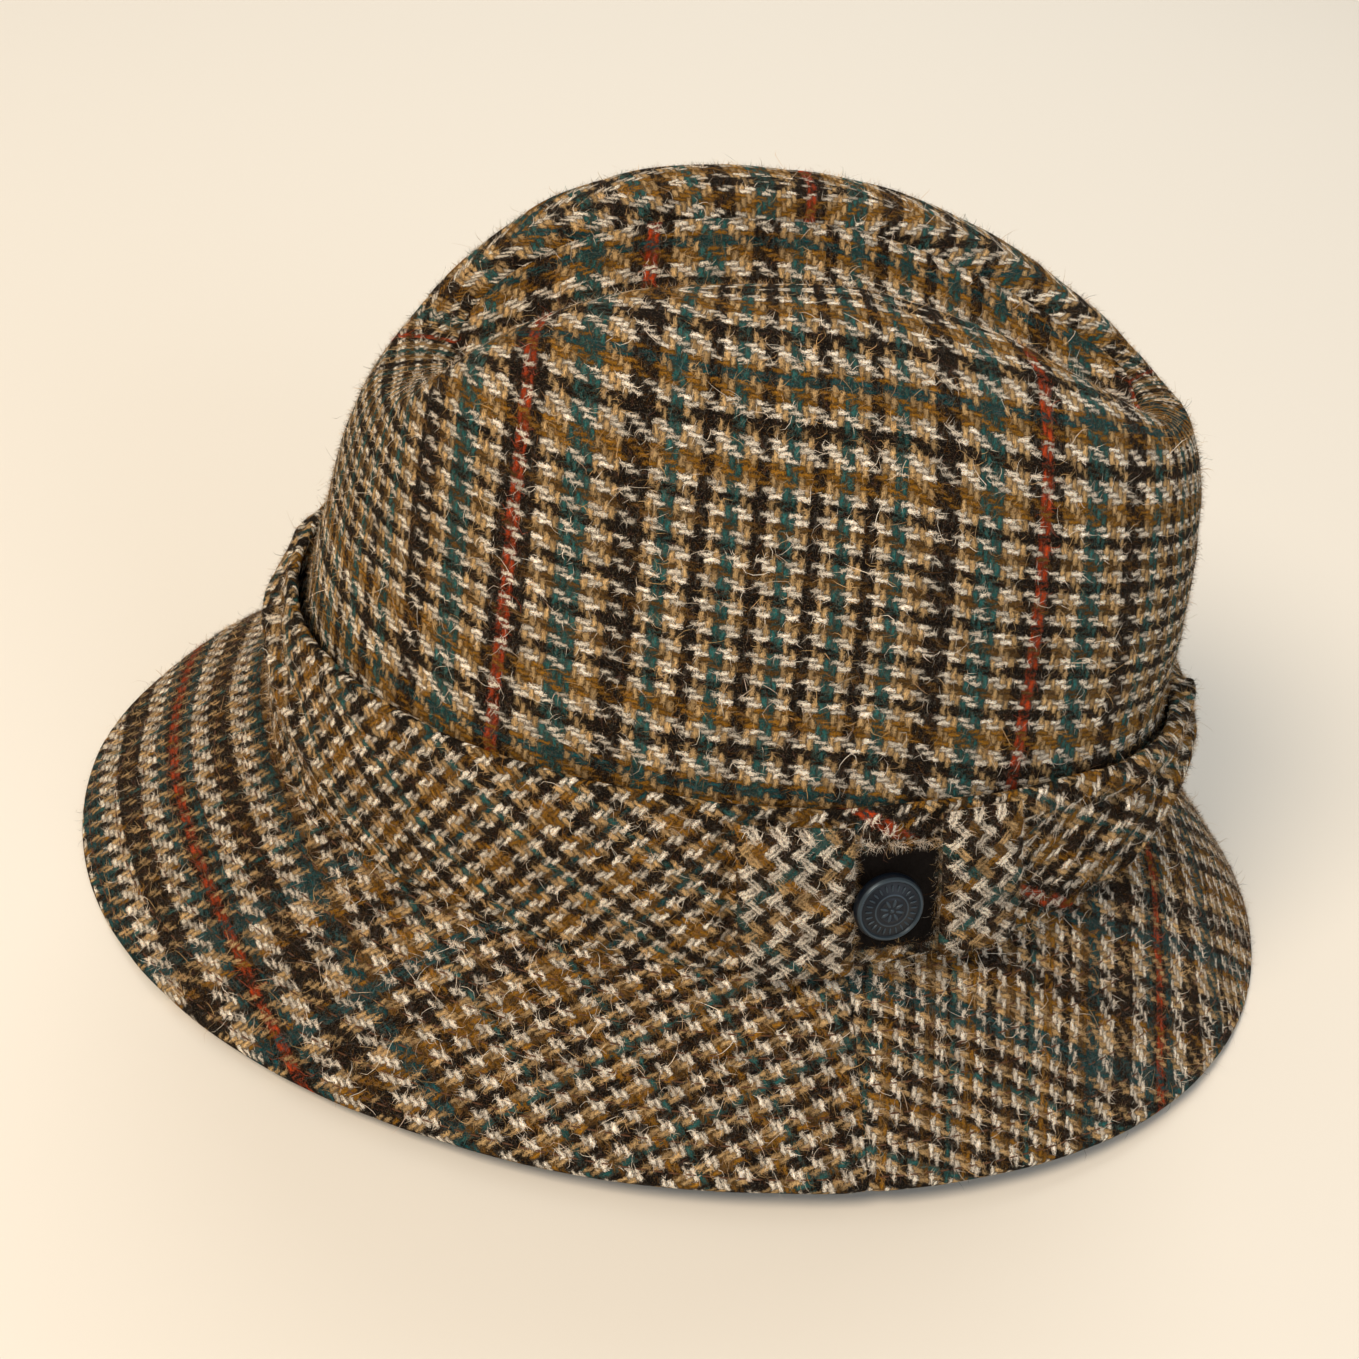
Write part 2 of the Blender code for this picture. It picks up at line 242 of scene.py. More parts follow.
def unit(vectors: np.ndarray) -> np.ndarray:
    """Scale vectors to a length of one."""
    return vectors / np.maximum(np.linalg.norm(vectors, axis=-1, keepdims=True), 1e-12)


def grid_normals(points: np.ndarray, ring: bool) -> np.ndarray:
    """Give the unit normals of a grid of rows and columns.

    Args:
        points: Rows by columns by three.
        ring: Whether the last column lies on the first.

    Returns:
        Normals of the same shape, on the side that columns cross rows points to.
    """
    across = np.gradient(points, axis=1)
    if ring:
        across[:, 0] = across[:, -1] = points[:, 1] - points[:, -2]
    return unit(np.cross(across, np.gradient(points, axis=0)))


def run_length(points: np.ndarray, axis: int) -> np.ndarray:
    """Give the distance run along one axis of a grid of points, starting from zero."""
    steps = np.linalg.norm(np.diff(points, axis=axis), axis=-1)
    start = np.zeros_like(np.take(steps, [0], axis=axis))
    return np.concatenate([start, np.cumsum(steps, axis=axis)], axis=axis)


def ring_angles(columns: int) -> np.ndarray:
    """Give the angles of a ring's columns, which start and end at the back."""
    return np.linspace(-1.5 * math.pi, 0.5 * math.pi, columns)


def stand(name: str, data: bpy.types.ID) -> bpy.types.Object:
    """Make an object of a mesh, light or camera and link it to the scene."""
    made = bpy.data.objects.new(name, data)
    bpy.context.scene.collection.objects.link(made)
    return made


def ripple(points: np.ndarray, wavelength: float, seed: int) -> np.ndarray:
    """Give a smooth random field of about plus or minus one over points in metres."""
    dice = np.random.default_rng(seed)
    total = np.zeros(points.shape[:-1])
    for _ in range(10):
        way = unit(dice.normal(size=3)) * FULL_TURN / (wavelength * dice.uniform(0.7, 1.5))
        total += np.sin(points @ way + dice.uniform(0, FULL_TURN))
    return total / 3.2


@dataclass
class Sheet:
    """A piece of cloth laid out as a grid: its outer face, with the cloth's own millimetres."""

    points: np.ndarray
    cloth: np.ndarray
    ring: bool = False
    normals: np.ndarray = field(init=False)

    def __post_init__(self) -> None:
        """Work out the outward normals."""
        self.normals = grid_normals(self.points, self.ring)

    def lift(self, amount: np.ndarray) -> None:
        """Move the face along its normals by metres, such as for folds and puckers."""
        self.points = self.points + self.normals * amount[..., None]
        self.normals = grid_normals(self.points, self.ring)

    def folded(self, wall: float, steps: int = 5) -> "Sheet":
        """Give the sheet thickness: the face, a round fold at each rim, and the inner face.

        Args:
            wall: The thickness of the cloth in metres.
            steps: Rows round each fold.

        Returns:
            A sheet whose last row lies on its first.
        """
        rows, cloth = [self.points], [self.cloth]
        inner = self.points - self.normals * wall
        fold = math.pi * wall / 2 / MM

        def rim(end: int, inside: int) -> tuple[list[np.ndarray], list[np.ndarray], np.ndarray]:
            """Turn the cloth round one rim, and say how it runs on beyond it."""
            outward = unit(self.points[end] - self.points[inside])
            way = self.cloth[end] - self.cloth[inside]
            way = way / np.maximum(np.linalg.norm(way, axis=-1, keepdims=True), 1e-9)
            centre = self.points[end] - self.normals[end] * wall / 2
            turns = [math.pi * (i + 1) / (steps + 1) for i in range(steps)]
            arc = [centre + wall / 2 * (math.cos(t) * self.normals[end] + math.sin(t) * outward)
                   for t in turns]
            return arc, [self.cloth[end] + way * fold * t / math.pi for t in turns], way * fold

        arc, arc_cloth, beyond = rim(-1, -3)
        rows.append(np.array(arc))
        cloth.append(np.array(arc_cloth))
        rows.append(inner[::-1])
        cloth.append((2 * self.cloth[-1] + beyond - self.cloth)[::-1])
        arc, arc_cloth, _ = rim(0, 2)
        rows.append(np.array(arc[::-1]))
        cloth.append(np.array(arc_cloth[::-1]))
        rows.append(self.points[:1])
        cloth.append(self.cloth[:1])
        return Sheet(np.concatenate(rows), np.concatenate(cloth), self.ring)


def lay(name: str, sheet: Sheet) -> bpy.types.Object:
    """Make a grid primitive, lay its vertices on a sheet and close it.

    Args:
        name: The piece's name.
        sheet: The folded sheet to follow.

    Returns:
        The closed cloth piece, with its own map of the cloth in millimetres.
    """
    rows, columns = sheet.points.shape[:2]
    bpy.ops.object.select_all(action="DESELECT")
    bpy.ops.mesh.primitive_grid_add(x_subdivisions=columns - 1, y_subdivisions=rows - 1, size=1)
    piece = bpy.context.object
    piece.name = piece.data.name = name
    mesh = piece.data
    # Cloth that would reach under the floor is pressed flat on it
    sheet.points[..., 2] = np.maximum(sheet.points[..., 2], 0.1 * MM)
    flat = np.empty(len(mesh.vertices) * 3)
    mesh.vertices.foreach_get("co", flat)
    flat = flat.reshape(-1, 3)
    column = np.rint((flat[:, 0] + 0.5) * (columns - 1)).astype(int)
    row = np.rint((flat[:, 1] + 0.5) * (rows - 1)).astype(int)
    mesh.vertices.foreach_set("co", sheet.points[row, column].ravel())
    corner = np.empty(len(mesh.loops), dtype=np.int32)
    mesh.loops.foreach_get("vertex_index", corner)
    weave = mesh.uv_layers[0]
    weave.name = CLOTH_MAP
    weave.data.foreach_set("uv", sheet.cloth[row, column][corner].ravel())
    bpy.ops.object.mode_set(mode="EDIT")
    bpy.ops.mesh.select_all(action="SELECT")
    bpy.ops.mesh.remove_doubles(threshold=1e-6)
    bpy.ops.mesh.fill_holes(sides=0)
    bpy.ops.object.mode_set(mode="OBJECT")
    bpy.ops.object.shade_smooth_by_angle(angle=math.radians(60))
    return piece


def add(tree: bpy.types.NodeTree, kind: str, settings: Optional[dict] = None,
        links: Optional[dict] = None) -> bpy.types.Node:
    """Add a node with its settings and links.

    Args:
        tree: The material's node tree.
        kind: The node's type, without the words ShaderNode.
        settings: Values of the node's own properties.
        links: For each input, a number, colour or output socket.

    Returns:
        The new node.
    """
    node = tree.nodes.new("ShaderNode" + kind)
    for name, value in (settings or {}).items():
        setattr(node, name, value)
    for name, value in (links or {}).items():
        socket = node.inputs[name]
        if isinstance(value, bpy.types.NodeSocket):
            tree.links.new(value, socket)
        else:
            socket.default_value = value
    return node


def blank(name: str) -> tuple[bpy.types.Material, bpy.types.NodeTree, bpy.types.Node]:
    """Start a material: give it, its tree and its Principled shader."""
    material = bpy.data.materials.new(name)
    material.use_nodes = True
    tree = material.node_tree
    return material, tree, tree.nodes["Principled BSDF"]


@dataclass(frozen=True)
class Chart:
    """How one set of yarns is laid: a small unit that repeats, and bars over it."""

    pitch: float
    ends: int
    unit: str
    bars: str = ""
    bars_start: int = 0
    strands: int = 1


@dataclass(frozen=True)
class CheckCloth:
    """A two-and-two twill check: its warp runs up the cloth, its weft across it."""

    name: str
    warp: Chart
    weft: Chart


CROWN_CHECK = CheckCloth(
    "crown check",
    Chart(1.394, 78, "K2 A2", "K4 A2 S2 A3 K2 A2 S2 A2 K2 A2 S2 A2 K2 A2 S2 A2 K2 A2 S2 A4 "
                              "K4 A3 S4 A4 K2 R2 K2 A4 S4 A4"),
    Chart(1.127, 72, "C2 K2 C2 B2", "T2 O1 C4 K3 C3 O4 C2 K2 C2 B2 C2 K2 C2 B2 C2 K2 C2 B2 "
                                    "C2 K2 C2 B2 C2 K2 C2 O4 C4 K3 C3 O3"))
BRIM_CHECK = CheckCloth(
    "brim check",
    Chart(1.3, 160, "K2 A2 S1 K1 A2 K2 A2 O1 K1 A2",
          "T4 A5 O2 K4 A2 K2 A5 O1 T3 K1 A3 K4 A3 O4", 60),
    Chart(1.2, 105, "C2 K1 S1 C2 O2 C2 K2 C2 B2", "T3 C4 K5 C4 T2 K1 R2 K1 T2 C4 K5 C4 T4"))
BAND_CHECK = CheckCloth(
    "band check",
    Chart(1.3, 400, "K2 A2 S1 A1 K2 A2 O2 A1", "K2 R2 K2", 260),
    Chart(1.2, 100, "C2 K2 C2 O2 C2 K2 C2 T1 B1"))
BOW_CHECK = CheckCloth(
    "bow check",
    Chart(1.84, 14, "C1 K1 C1 S1 A1 K1 C1 B1 C1 K1 A1 O1 C1 K1", strands=2),
    Chart(1.84, 18, "C1 K1 C1 K1 C1 B1 A1 K1 C1 S1 C1 K1 C1 O1 A1 K1 C1 K1", strands=2))


@dataclass(frozen=True)
class Tweed:
    """Coarse wool tweed, woven from mixture yarns in a two-and-two twill.

    Coarse woollen yarns about 1.2 mm apart give each float a soft round back, a dark gap beside
    it painted in as shade, and a hairy, quite matt face with a faint pale sheen at the edges.
    """

    roughness: float = 0.95
    relief: float = 0.00055
    sheen: float = 0.02
    wander: float = 1.25
    fray: float = 1.5

    def yarns(self, tree: bpy.types.NodeTree, thread: bpy.types.NodeSocket,
              chart: Chart) -> bpy.types.NodeSocket:
        """Colour a set of yarns by their number.

        Args:
            tree: The material's node tree.
            thread: The yarn's number, a whole number.
            chart: The order of the colours.

        Returns:
            The colour socket.
        """

        def strip(text: str, count: int, start: int) -> bpy.types.Node:
            """Lay one run of colours on a ramp that repeats after a count of yarns."""
            share = add(tree, "Math", {"operation": "MULTIPLY_ADD"},
                        {0: thread, 1: 1 / count, 2: 0.5 / count})
            place = add(tree, "Math", {"operation": "FRACT"}, {0: share.outputs[0]})
            ramp = add(tree, "ValToRGB", {}, {"Fac": place.outputs[0]})
            ramp.color_ramp.interpolation = "CONSTANT"
            stops = [(start + sum(n for _, n in runs(text)[:k]), yarn)
                     for k, (yarn, _) in enumerate(runs(text))]
            finish = start + sum(n for _, n in runs(text))
            marks = [(0, linear("#000000", 0.0))] if start else []
            marks += [(at, linear(yarn.value)) for at, yarn in stops]
            marks += [(finish, linear("#000000", 0.0))] if finish < count else []
            elements = ramp.color_ramp.elements
            while len(elements) < len(marks):
                elements.new(0.5)
            for element, (at, _) in zip(elements, marks):
                element.position = at / count
            for element, (_, colour) in zip(elements, marks):
                element.color = colour
            return ramp

        unit_runs = sum(n for _, n in runs(chart.unit))
        base = strip(chart.unit, unit_runs, 0)
        if not chart.bars:
            return base.outputs["Color"]
        bars = strip(chart.bars, chart.ends, chart.bars_start)
        mix = add(tree, "Mix", {"data_type": "RGBA"},
                  {0: bars.outputs["Alpha"], 6: base.outputs["Color"], 7: bars.outputs["Color"]})
        return mix.outputs[2]

    def material(self, cloth: CheckCloth, loose: bool = False) -> bpy.types.Material:
        """Build the woven material.

        Args:
            cloth: The check to weave.
            loose: Whether this is for the fibres that stand off the cloth.

        Returns:
            A material that reads the piece's own map of the cloth.
        """
        material, tree, shader = blank(("loose wool of the " if loose else "wool tweed, ")
                                       + cloth.name)

        def sums(kind: str, first: object, second: object = 0.0,
                 third: object = 0.0) -> bpy.types.NodeSocket:
            """Do one sum on numbers or sockets."""
            values = {0: first, 1: second}
            if kind == "MULTIPLY_ADD":
                values[2] = third
            return add(tree, "Math", {"operation": kind}, values).outputs[0]

        place = add(tree, "UVMap", {"uv_map": CLOTH_MAP})
        # Slow noise lets the yarns wander, fine noise frays their sides into fibres
        moved = place.outputs[0]
        for scale, size, detail in ((0.55, self.wander, 2.0), (3.3, self.fray, 4.0)):
            shake = add(tree, "TexNoise", {"noise_dimensions": "2D"},
                        {"Vector": place.outputs[0], "Scale": scale, "Detail": detail,
                         "Roughness": 0.6})
            centred = add(tree, "VectorMath", {"operation": "SUBTRACT"},
                          {0: shake.outputs["Color"], 1: (0.5, 0.5, 0.5)})
            moved = add(tree, "VectorMath", {"operation": "MULTIPLY_ADD"},
                        {0: centred.outputs[0], 1: (size, size, 0.0), 2: moved}).outputs[0]
        at = add(tree, "SeparateXYZ", {}, {0: moved})
        across = sums("MULTIPLY", at.outputs[0], 1 / cloth.warp.pitch)
        upward = sums("MULTIPLY", at.outputs[1], 1 / cloth.weft.pitch)
        end, pick = sums("FLOOR", across), sums("FLOOR", upward)
        step = sums("FLOORED_MODULO", sums("ADD", end, pick), 4.0)
        weft_up = sums("GREATER_THAN", step, 1.5)

        def float_height(side: bpy.types.NodeSocket, length: bpy.types.NodeSocket,
                         strands: int) -> bpy.types.NodeSocket:
            """Round a float's back across each strand and let its ends dive under."""
            strand = sums("FRACT", sums("MULTIPLY", side, float(strands)))
            edge = sums("ABSOLUTE", sums("MULTIPLY_ADD", strand, 2.0, -1.0))
            back = sums("SUBTRACT", 1.0, sums("POWER", sums("MULTIPLY", edge, 1 / 0.88), 2.4))
            end_on = sums("ABSOLUTE", sums("MULTIPLY_ADD", length, 2.0, -1.0))
            dive = sums("SUBTRACT", 1.0, sums("POWER", end_on, 3.2))
            return sums("MULTIPLY", sums("MAXIMUM", back, 0.0),
                        sums("MULTIPLY_ADD", dive, 0.75, 0.25))

        warp_turn = sums("MULTIPLY", sums("ADD", end, upward), 0.25)
        weft_turn = sums("MULTIPLY", sums("ADD", across, pick), 0.25)
        warp_run = sums("MULTIPLY", sums("FRACT", warp_turn), 2.0)
        weft_run = sums("MULTIPLY_ADD", sums("FRACT", weft_turn), 2.0, -1.0)
        warp_height = float_height(across, warp_run, cloth.warp.strands)
        weft_height = float_height(upward, weft_run, cloth.weft.strands)
        height = add(tree, "Mix", {}, {0: weft_up, 2: warp_height, 3: weft_height}).outputs[0]

        # Woollen yarn is spun with a twist, so its fibres slant across it
        streaks = []
        for scale, turn in (((5.0, 1.0, 1.0), 0.5), ((1.0, 5.0, 1.0), -0.5)):
            laid = add(tree, "Mapping", {}, {"Vector": place.outputs[0], "Scale": scale,
                                             "Rotation": (0.0, 0.0, turn)})
            streaks.append(add(tree, "TexNoise", {"noise_dimensions": "2D"},
                               {"Vector": laid.outputs[0], "Scale": 1.0, "Detail": 3.0,
                                "Roughness": 0.65}).outputs[0])
        streak = add(tree, "Mix", {}, {0: weft_up, 2: streaks[0], 3: streaks[1]}).outputs[0]

        def either(first: object, second: object, share: object) -> bpy.types.NodeSocket:
            """Mix two colours."""
            return add(tree, "Mix", {"data_type": "RGBA"},
                       {0: share, 6: first, 7: second}).outputs[2]

        warp_colour = self.yarns(tree, end, cloth.warp)
        weft_colour = self.yarns(tree, pick, cloth.weft)
        over = either(warp_colour, weft_colour, weft_up)
        under = either(weft_colour, warp_colour, weft_up)
        # Flecks of other wools are carded into each yarn
        fleck = add(tree, "TexNoise", {"noise_dimensions": "2D"},
                    {"Vector": place.outputs[0], "Scale": 0.9, "Detail": 4.0, "Roughness": 0.7})
        kinds = add(tree, "ValToRGB", {}, {"Fac": fleck.outputs[0]})
        kinds.color_ramp.interpolation = "CONSTANT"
        marks = ((0.0, "#24403C"), (0.36, "#9A6F5E"), (0.43, "#6B4A2A"), (0.50, "#8A8078"),
                 (0.56, "#94601F"), (0.63, "#2E1F18"), (0.70, "#A98A5C"))
        while len(kinds.color_ramp.elements) < len(marks):
            kinds.color_ramp.elements.new(0.9)
        for element, (spot, _) in zip(kinds.color_ramp.elements, marks):
            element.position = spot
        for element, (_, shade) in zip(kinds.color_ramp.elements, marks):
            element.color = linear(shade)
        amount = add(tree, "MapRange", {}, {0: streak, 1: 0.44, 2: 0.64, 3: 0.05, 4: 0.70})
        depth = add(tree, "RGBToBW", {}, {0: over})
        dim = add(tree, "VectorMath", {"operation": "SCALE"},
                  {0: kinds.outputs[0], 3: sums("MULTIPLY_ADD", depth.outputs[0], 0.72, 0.07)})
        tinted = add(tree, "VectorMath", {"operation": "MULTIPLY_ADD"},
                     {0: over, 1: (0.50, 0.44, 0.38), 2: dim.outputs[0]})
        mixed = either(over, tinted.outputs[0], amount.outputs[0])
        float_name = add(tree, "CombineXYZ", {}, {
            0: add(tree, "Mix", {}, {0: weft_up, 2: end, 3: pick}).outputs[0],
            1: add(tree, "Mix", {}, {0: weft_up, 2: sums("FLOOR", warp_turn),
                                     3: sums("FLOOR", weft_turn)}).outputs[0], 2: weft_up})
        each = add(tree, "TexWhiteNoise", {"noise_dimensions": "3D"},
                   {"Vector": float_name.outputs[0]})
        gain = sums("MULTIPLY_ADD", each.outputs[0], 0.66, 0.72)
        if not loose:
            # A float between dark neighbours looks darker than one among pale ones
            beside = add(tree, "RGBToBW", {}, {0: under})
            around = add(tree, "MapRange", {}, {0: beside.outputs[0], 1: 0.0, 2: 0.35, 3: 0.72,
                                                4: 1.08})
            gain = sums("MULTIPLY", gain, around.outputs[0])
            fine = add(tree, "MapRange", {}, {0: streak, 1: 0.3, 2: 0.7, 3: 1.30, 4: 0.70})
            gain = sums("MULTIPLY", gain, fine.outputs[0])
        bright = add(tree, "VectorMath", {"operation": "SCALE"}, {0: mixed, 3: gain}).outputs[0]
        if loose:
            final = either(bright, kinds.outputs[0], 0.25)
        else:
            # Black, rust and teal yarns are fuller, so they crowd the floats that cross them
            tint = add(tree, "SeparateColor", {"mode": "HSV"}, {0: under})
            from_ochre = sums("ABSOLUTE", sums("SUBTRACT", tint.outputs[0], 0.115))
            strange = add(tree, "MapRange", {}, {0: from_ochre, 1: 0.03, 2: 0.06, 3: 0.0, 4: 1.0})
            deep = add(tree, "MapRange", {"interpolation_type": "SMOOTHSTEP"},
                       {0: tint.outputs[1], 1: 0.60, 2: 0.85, 3: 0.0, 4: 1.0})
            vivid = sums("MULTIPLY", strange.outputs[0], deep.outputs[0])
            dark = add(tree, "MapRange", {}, {0: beside.outputs[0], 1: 0.0, 2: 0.02, 3: 1.4,
                                              4: 0.0}).outputs[0]
            crowd = sums("MULTIPLY_ADD", sums("MAXIMUM", vivid, dark), -0.26, -0.60)
            frayed = sums("MULTIPLY_ADD", streak, 1.30, sums("ADD", height, crowd))
            core = add(tree, "MapRange", {"interpolation_type": "SMOOTHSTEP"},
                       {0: frayed, 1: 0.0, 2: 0.50, 3: 0.0, 4: 1.0})
            # Painted shade in the gaps between floats: the yarn beneath, darkened, and less so
            # under vivid yarns
            below = either(under, over, sums("MULTIPLY_ADD", vivid, -0.40, 0.40))
            shadow = add(tree, "VectorMath", {"operation": "SCALE"},
                         {0: either(below, kinds.outputs[0], 0.15),
                          3: sums("MULTIPLY_ADD", vivid, 0.50, 0.12)})
            final = either(shadow.outputs[0], bright, core.outputs[0])
            # Hairs too fine to model lie over the yarns: thin level lines of a smooth noise
            for size, width, hair, share in ((0.34, 0.024, "#8E6636", 0.58),
                                             (0.55, 0.026, "#DCC8A4", 0.44),
                                             (0.42, 0.045, "#0E0906", 0.70)):
                wave = add(tree, "TexNoise", {"noise_dimensions": "3D"}, {
                    "Vector": add(tree, "VectorMath", {"operation": "ADD"},
                                  {0: place.outputs[0], 1: (0.0, 0.0, size * 97)}).outputs[0],
                    "Scale": size, "Detail": 2.0, "Roughness": 0.45})
                line = sums("ABSOLUTE", sums("MULTIPLY_ADD", sums("FRACT", sums(
                    "MULTIPLY", wave.outputs[0], 9.0)), 2.0, -1.0))
                gate = add(tree, "MapRange", {}, {0: streak, 1: 0.42, 2: 0.64, 3: 0.10, 4: 1.0})
                thin = add(tree, "MapRange", {"interpolation_type": "SMOOTHSTEP"},
                           {0: line, 1: width * 5, 2: 0.0, 3: 0.0, 4: share})
                final = either(final, linear(hair),
                               sums("MULTIPLY", thin.outputs[0], gate.outputs[0]))
        tree.links.new(final, shader.inputs["Base Color"])
        shader.inputs["Roughness"].default_value = self.roughness
        shader.inputs["Specular IOR Level"].default_value = 0.08
        shader.inputs["Sheen Weight"].default_value = self.sheen
        shader.inputs["Sheen Roughness"].default_value = 0.5
        shader.inputs["Sheen Tint"].default_value = linear("#E8DCC8")
        if not loose:
            rough = sums("MULTIPLY_ADD", streak, 0.45, height)
            bump = add(tree, "Bump", {}, {"Height": rough, "Distance": self.relief,
                                          "Strength": 1.0})
            tree.links.new(bump.outputs[0], shader.inputs["Normal"])
        return material


@dataclass(frozen=True)
class PlainFinish:
    """A finish of one colour."""

    name: str
    colour: str
    roughness: float
    metallic: float = 0.0
    specular: float = 0.5

    def material(self) -> bpy.types.Material:
        """Build the material."""
        material, _, shader = blank(self.name)
        shader.inputs["Base Color"].default_value = linear(self.colour)
        shader.inputs["Roughness"].default_value = self.roughness
        shader.inputs["Metallic"].default_value = self.metallic
        shader.inputs["Specular IOR Level"].default_value = self.specular
        return material


# Mill-finished wool felt, quite matt and close; its near-black colour is partly painted shade, so
# it reads as a dark hollow behind the button
DARK_FELT_AND_PAINTED_SHADE = PlainFinish("black wool felt with painted shade", "#15110F", 0.95, specular=0.1)
# Navy stoving enamel baked on pressed brass: smooth, with a soft shine
ENAMEL = PlainFinish("navy enamel on brass", "#050D18", 0.38, specular=0.30)
# Pressed brass worn pale on its high places, dull with handling
WORN_RIM = PlainFinish("worn plated brass", "#323F49", 0.38, metallic=0.5)
# Spun polyester sewing thread with a low shine
THREAD = PlainFinish("brown sewing thread", "#5A3A24", 0.6, specular=0.3)


@dataclass(frozen=True)
class Fibres:
    """Loose wool fibres raised from the cloth: most lie on it, a few stand off."""

    count: int
    seed: int
    shortest: float = 1.3 * MM
    longest: float = 6.5 * MM
    width: float = 0.085 * MM
    standing: float = 0.34
    fluff: int = 0

    def roots(self, sheets: Sequence[Sheet], count: int,
              dice: np.random.Generator) -> tuple[np.ndarray, np.ndarray, np.ndarray]:
        """Scatter roots evenly over the outer faces of sheets.

        Args:
            sheets: The faces.
            count: How many roots.
            dice: The random source.

        Returns:
            Places, normals and the cloth's own millimetres.
        """
        found: list[list[np.ndarray]] = []
        areas = []
        for sheet in sheets:
            p = sheet.points
            areas.append(np.linalg.norm(
                np.cross(p[1:, :-1] - p[:-1, :-1], p[:-1, 1:] - p[:-1, :-1]), axis=-1))
        total = sum(area.sum() for area in areas)
        for sheet, area in zip(sheets, areas):
            number = int(count * area.sum() / total)
            chosen = dice.choice(area.size, number, p=(area / area.sum()).ravel())
            r, c = np.unravel_index(chosen, area.shape)
            u, v = dice.random((2, number, 1))
            part = []
            for grid in (sheet.points, sheet.normals, sheet.cloth):
                low = grid[r, c] * (1 - u) + grid[r, c + 1] * u
                high = grid[r + 1, c] * (1 - u) + grid[r + 1, c + 1] * u
                part.append(low * (1 - v) + high * v)
            found.append(part)
        root, normal, weave = (np.concatenate(part) for part in zip(*found))
        return root, unit(normal), weave

    def grow(self, name: str, sheets: Sequence[Sheet]) -> bpy.types.Object:
        """Grow the fibres on the outer faces of sheets as one joined mesh.

        Args:
            name: The name of the mesh.
            sheets: The faces to grow on.

        Returns:
            One object with five triangles a fibre, and one for each bit of nap.
        """
        dice = np.random.default_rng(self.seed)
        root, normal, weave = self.roots(sheets, self.count, dice)
        number = len(root)
        side = unit(np.cross(normal, dice.normal(size=(number, 3))))
        other = np.cross(normal, side)
        length = (self.shortest + (self.longest - self.shortest)
                  * dice.random((number, 1)) ** 3.5)
        stands = dice.random((number, 1)) < self.standing
        rise = np.where(stands, dice.uniform(0.3, 1.1, (number, 1)),
                        dice.uniform(0.02, 0.22, (number, 1)))
        fall = np.where(stands, rise - dice.uniform(0.2, 1.0, (number, 1)), -0.05)
        curl = dice.normal(0, 0.55, (number, 1))
        points = root + normal * 0.12 * MM
        half = self.width / 2 * dice.uniform(0.6, 1.3, (number, 1))
        bend, corners = np.zeros((number, 1)), []
        for part in range(4):
            way = side * np.cos(bend) + other * np.sin(bend)
            wide = np.cross(normal, way) * half * (1.0, 0.9, 0.75, 0.0)[part]
            corners += [points] if part == 3 else [points - wide, points + wide]
            climb = rise + (fall - rise) * part / 2
            points = points + (way * np.cos(climb) + normal * np.sin(climb)) * length / 3
            bend = bend + curl * (part + 1) / 1.5
        points = np.stack(corners, 1).reshape(-1, 3)
        start = np.arange(number)[:, None] * 7
        corners = (start + np.array([0, 1, 3, 2, 2, 3, 5, 4, 4, 5, 6])).ravel()
        sizes = np.tile([4, 4, 3], number)
        weave = np.repeat(weave, 11, axis=0)
        if self.fluff:
            # The nap between the long fibres is short and straight, one triangle each
            root, normal, spot = self.roots(sheets, self.fluff, dice)
            side = unit(np.cross(normal, dice.normal(size=root.shape)))
            climb = dice.uniform(0.1, 0.9, (len(root), 1))
            way = side * np.cos(climb) + normal * np.sin(climb)
            wide = np.cross(normal, side) * 0.045 * MM
            tip = root + way * dice.uniform(0.8, 2.3, (len(root), 1)) * MM
            nap = np.stack([root - wide, root + wide, tip], 1).reshape(-1, 3)
            corners = np.concatenate([corners, len(points) + np.arange(len(nap))])
            sizes = np.concatenate([sizes, np.full(len(root), 3)])
            points = np.concatenate([points, nap])
            weave = np.concatenate([weave, np.repeat(spot, 3, axis=0)])
        points[:, 2] = np.maximum(points[:, 2], 0.2 * MM)
        mesh = bpy.data.meshes.new(name)
        mesh.vertices.add(len(points))
        mesh.vertices.foreach_set("co", points.ravel())
        mesh.loops.add(len(corners))
        mesh.loops.foreach_set("vertex_index", corners.astype(np.int32))
        mesh.polygons.add(len(sizes))
        mesh.polygons.foreach_set("loop_start", np.concatenate([[0], np.cumsum(sizes)[:-1]]))
        mesh.polygons.foreach_set("loop_total", sizes)
        layer = mesh.uv_layers.new(name=CLOTH_MAP)
        layer.data.foreach_set("uv", weave.ravel())
        mesh.update(calc_edges=True)
        mesh.validate()
        return stand(name, mesh)


def dress(piece: bpy.types.Object, materials: Sequence[bpy.types.Material],
          replaced: Sequence[str] = ()) -> None:
    """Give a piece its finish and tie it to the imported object.

    Args:
        piece: The piece.
        materials: Its materials in slot order, or none to keep its own.
        replaced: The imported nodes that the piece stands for.
    """
    for material in materials:
        piece.data.materials.append(material)
    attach(piece, "root")
    if replaced:
        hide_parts(*replaced)
    LOG.info("%s: %d faces", piece.name, len(piece.data.polygons))


